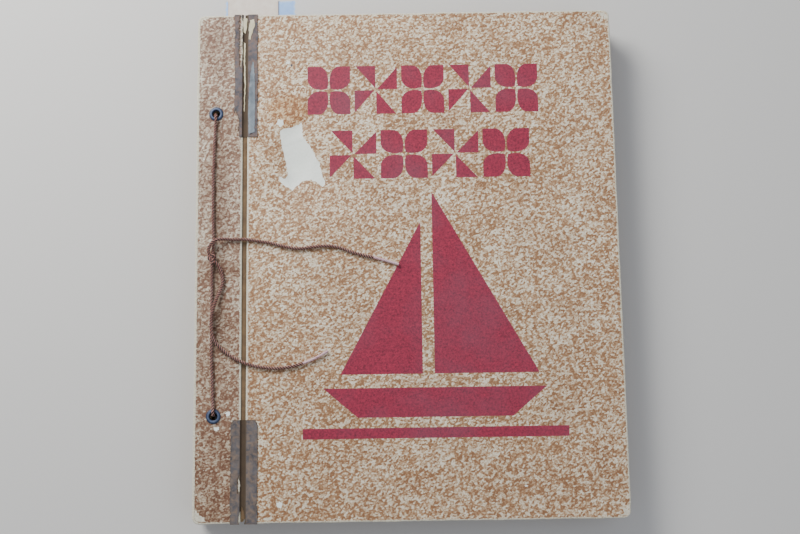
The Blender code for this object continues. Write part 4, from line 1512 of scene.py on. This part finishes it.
def make_leaves():
    """Fifteen CAD leaves, each drawn as two thin sheets of album paper laced at two holes."""
    tan = uncoated_paper("manila_album_paper", "BFA67C", "D4BE97", "8F7049")
    pair = (0.05 * MM, 0.30 * MM)
    for number in range(1, LEAVES + 1):
        turning = number <= TURNING_LEAVES
        node = f"leaf_{number:02d}"
        low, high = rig.box(node)
        page_start = low.x
        if turning:
            margin_low, margin_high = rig.box(f"{node}_margin")
            low = Vector((margin_low.x, low.y, low.z))
            score = (margin_high.x + page_start) / 2
            bends = [score + step * 0.5 * MM for step in range(-4, 5)]
            heights = [lambda x, lift=lift, z=low.z: z + lift for lift in pair]
        else:
            drop = high.z - low.z - LEAF_SLAB
            bends = [-0.084, -0.081, -0.078, -0.075, -0.072, -0.069, -0.066]
            heights = [
                lambda x, lift=lift, z=high.z - LEAF_SLAB, d=drop: z + lift - d * ease((x + 0.084) / 0.018)
                for lift in pair
            ]
        shift = random.uniform(-0.6, 0.6) * MM
        outline_low = Vector((low.x, low.y + 0.6 * MM + shift, 0))
        outline_high = Vector((high.x - abs(random.uniform(0, 1.2)) * MM, high.y - 0.6 * MM + shift, 0))
        outline = rounded_outline(
            outline_low, outline_high, [0.4 * MM, 1.2 * MM, 1.2 * MM, 0.4 * MM], 4.5 * MM)
        piece = paper(
            f"{node}_sheets", outline, SHEET_THICKNESS, heights, tan, LACING_HOLES, bends, seed=number)
        if turning:
            z = low.z + 0.25 * MM
            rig.blend(piece, "binding", node, (score - 1.6 * MM, 0, z), (score + 1.6 * MM, 0, z))
            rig.replaces(piece, node, f"{node}_margin")
        else:
            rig.ride(piece, "binding")
            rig.replaces(piece, node)
        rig.slot(piece, "leaf_paper")


def make_tucked_papers():
    """Slip and ragged card that stand out at the head between the leaves."""
    slip_paper = uncoated_paper("peach_slip_paper", "DFD3C6", "EAE2D8", "B79F8D")
    card_paper = uncoated_paper("pale_blue_card", "94BFFA", "A6CCFF", "D4E6FA")
    low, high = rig.box("tucked_slip")
    outline = rounded_outline(low, high, [0.5 * MM] * 4, 2.5 * MM)
    slip = paper("slip_of_paper", outline, 0.16 * MM, [lambda x: low.z + 0.04 * MM], slip_paper, seed=41)
    card_low, card_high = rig.box("tucked_card")
    card_outline = []
    for point in rounded_outline(card_low, card_high, [0.5 * MM] * 4, 0.7 * MM):
        side = min(point.x - card_low.x, card_high.x - point.x)
        if side < 0.6 * MM and point.y > card_high.y - 30 * MM:
            scallop = abs(math.sin(point.y / (1.9 * MM) * math.pi / 2))
            bite = (0.25 + 0.75 * scallop) * MM
            inward = 1 if point.x < (card_low.x + card_high.x) / 2 else -1
            point = Vector((point.x + inward * bite, point.y))
        elif point.y > card_high.y - 0.5 * MM:
            tear = 0.5 + 0.5 * wander(point.x, 4.0, 2.6 * MM)
            point = Vector((point.x, point.y - 1.4 * MM * tear))
        card_outline.append(point)
    card = paper(
        "torn_card", card_outline, 0.18 * MM, [lambda x: card_low.z + 0.03 * MM], card_paper, seed=47)
    for piece, node, slot in (
        (slip, "tucked_slip", "slip_paper"), (card, "tucked_card", "pale_card"),
    ):
        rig.ride(piece, "binding")
        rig.replaces(piece, node)
        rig.slot(piece, slot)


# ---------------------------------------------------------------- cord

def twist_tree():
    """Geometry Nodes group: strands twisted along a line of edges."""
    tree = bpy.data.node_groups.new("twisted_strands", "GeometryNodeTree")
    tree.interface.new_socket("Geometry", in_out="INPUT", socket_type="NodeSocketGeometry")
    for name, value in (("Step", 0.35 * MM), ("Pitch", 4.8 * MM), ("Strand Radius", 0.47 * MM),
                        ("Strand Offset", 0.54 * MM)):
        socket = tree.interface.new_socket(name, in_out="INPUT", socket_type="NodeSocketFloat")
        socket.default_value = value
    socket = tree.interface.new_socket("Sides", in_out="INPUT", socket_type="NodeSocketInt")
    socket.default_value = 9
    tree.interface.new_socket("Finish", in_out="INPUT", socket_type="NodeSocketMaterial")
    tree.interface.new_socket("Geometry", in_out="OUTPUT", socket_type="NodeSocketGeometry")
    given = add(tree, "NodeGroupInput").outputs
    line = add(tree, "GeometryNodeMeshToCurve", {"Mesh": given["Geometry"]}).outputs["Curve"]
    even = add(tree, "GeometryNodeResampleCurve", {"Curve": line, "Length": given["Step"]}, mode="LENGTH")
    run = add(tree, "GeometryNodeSplineParameter").outputs["Length"]
    turns = add(tree, "ShaderNodeMath", {0: run, 1: given["Pitch"]}, operation="DIVIDE").outputs[0]
    angle = add(tree, "ShaderNodeMath", {0: turns, 1: math.tau}, operation="MULTIPLY").outputs[0]
    tilted = add(tree, "GeometryNodeSetCurveTilt", {"Curve": even.outputs["Curve"], "Tilt": angle})
    marked = add(tree, "GeometryNodeStoreNamedAttribute", {
        "Geometry": tilted.outputs["Curve"], "Name": "along", "Value": run,
    }, data_type="FLOAT", domain="POINT")
    strand = add(tree, "GeometryNodeCurvePrimitiveCircle", {
        "Resolution": given["Sides"], "Radius": given["Strand Radius"],
    }).outputs["Curve"]
    share = add(tree, "GeometryNodeSplineParameter").outputs["Factor"]
    mirrored = add(tree, "ShaderNodeMath", {0: share, 1: 0.5}, operation="PINGPONG").outputs[0]
    strand = add(tree, "GeometryNodeStoreNamedAttribute", {
        "Geometry": strand, "Name": "around", "Value": mirrored,
    }, data_type="FLOAT", domain="POINT").outputs["Geometry"]
    offset = add(tree, "ShaderNodeCombineXYZ", {"X": given["Strand Offset"]}).outputs[0]
    moved = add(tree, "GeometryNodeTransform", {
        "Geometry": strand, "Translation": offset,
    }).outputs["Geometry"]
    joined = add(tree, "GeometryNodeJoinGeometry")
    for number in range(3):
        turned = add(tree, "GeometryNodeTransform", {
            "Geometry": moved, "Rotation": (0.0, 0.0, math.tau * number / 3),
        })
        tree.links.new(turned.outputs["Geometry"], joined.inputs["Geometry"])
    swept = add(tree, "GeometryNodeCurveToMesh", {
        "Curve": marked.outputs["Geometry"], "Profile Curve": joined.outputs["Geometry"], "Fill Caps": True,
    }).outputs["Mesh"]
    smooth = add(tree, "GeometryNodeSetShadeSmooth", {"Geometry": swept}).outputs["Geometry"]
    real = add(tree, "GeometryNodeRealizeInstances", {"Geometry": smooth}).outputs["Geometry"]
    painted = add(tree, "GeometryNodeSetMaterial", {"Geometry": real, "Material": given["Finish"]})
    add(tree, "NodeGroupOutput", {"Geometry": painted.outputs["Geometry"]})
    return tree


def twisted(name, tree, points, finish, **sizes):
    """Run the strands along a route and keep the result as a plain mesh."""
    mesh = bpy.data.meshes.new(f"{name}_line")
    mesh.from_pydata(points, [(n, n + 1) for n in range(len(points) - 1)], [])
    carrier = bpy.data.objects.new(f"{name}_line", mesh)
    bpy.context.collection.objects.link(carrier)
    modifier = carrier.modifiers.new("twist", "NODES")
    modifier.node_group = tree
    named = {item.name: item.identifier for item in tree.interface.items_tree if item.in_out == "INPUT"}
    modifier[named["Finish"]] = finish
    for key, value in sizes.items():
        modifier[named[key.replace("_", " ").title()]] = value
    bpy.context.view_layer.update()
    graph = bpy.context.evaluated_depsgraph_get()
    made = bpy.data.meshes.new_from_object(carrier.evaluated_get(graph), depsgraph=graph)
    piece = bpy.data.objects.new(name, made)
    bpy.context.collection.objects.link(piece)
    bpy.data.objects.remove(carrier)
    return piece


def knot_route():
    """Overhand knot pulled tight, as a flattened trefoil."""
    centre = Vector((-0.1153, 0.0012, TOP + 2.1 * MM))
    points = []
    for n in range(97):
        t = math.tau * n / 96
        x = 0.62 * (math.sin(t) + 2 * math.sin(2 * t))
        y = 0.84 * (math.cos(t) - 2 * math.cos(2 * t))
        points.append(centre + Vector((x, y, -0.80 * math.sin(3 * t))) * MM)
    return points


def make_cord():
    """Laced cord, its knot, two free ends and their lacquered tips."""
    # In each finish the third colour is the painted highlight, and the first number is the painted shade between the
    # plies.
    cord_finish = rayon_cord("rayon_twisted_cord", "80423A", "B97464", "ECBAAC", 0.97, 0.44, 0.3)
    tip_finish = rayon_cord("lacquered_cord_tip", "AC7F86", "D2A8B1", "F0DBE1", 0.15, 0.24, 0.0)
    tree = twist_tree()
    taut = {"strand_radius": 0.43 * MM, "strand_offset": 0.48 * MM, "pitch": 5.2 * MM}
    lacing = twisted("laced_cord", tree, smooth_route(lacing_route()), cord_finish, **taut)
    knot = twisted("cord_knot_tight", tree, knot_route(), cord_finish, step=0.2 * MM)
    for piece, node in ((lacing, "lacing_cord"), (knot, "cord_knot")):
        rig.ride(piece, "binding")
        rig.replaces(piece, node)
        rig.slot(piece, "twisted_cord")
    for end, route, tip_length in (
        ("upper", upper_tail_route(), 15.5 * MM), ("lower", lower_tail_route(), 16.5 * MM),
    ):
        run, tip_run = part_route(smooth_route(route), tip_length)
        tail = twisted(f"{end}_cord_end", tree, run, cord_finish)
        tip = twisted(
            f"{end}_cord_lacquered_tip", tree, tip_run, tip_finish,
            strand_radius=0.56 * MM, strand_offset=0.24 * MM, pitch=6.5 * MM)
        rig.ride(tip, "front_cover")
        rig.replaces(tip, f"cord_tip_{end}")
        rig.slot(tip, "stiffened_tip")
        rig.blend(tail, "binding", "front_cover", (-0.1030, 0, TOP), (-0.0905, 0, TOP))
        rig.cord(
            tail, exit=run[0], length=path_length(run), diameter=CORD_DIAMETER, far_end="fitting",
            stiffness="limp", lay="loose", path=run, with_pieces=[tip])
        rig.replaces(tail, f"cord_tail_{end}")
        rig.slot(tail, "twisted_cord")


# ---------------------------------------------------------------- the album

random.seed(11)
aim_camera()
make_cord()
make_boards()
make_eyelets()
make_hinge_cloths()
make_tapes()
make_leaves()
make_tucked_papers()
lay_floor()
light_studio()

looks_low, looks_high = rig.bounds()
with open("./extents.json", "w") as size_file:
    json.dump({
        "cad": [list(cad_low), list(cad_high)],
        "looks": [list(looks_low), list(looks_high)],
    }, size_file)
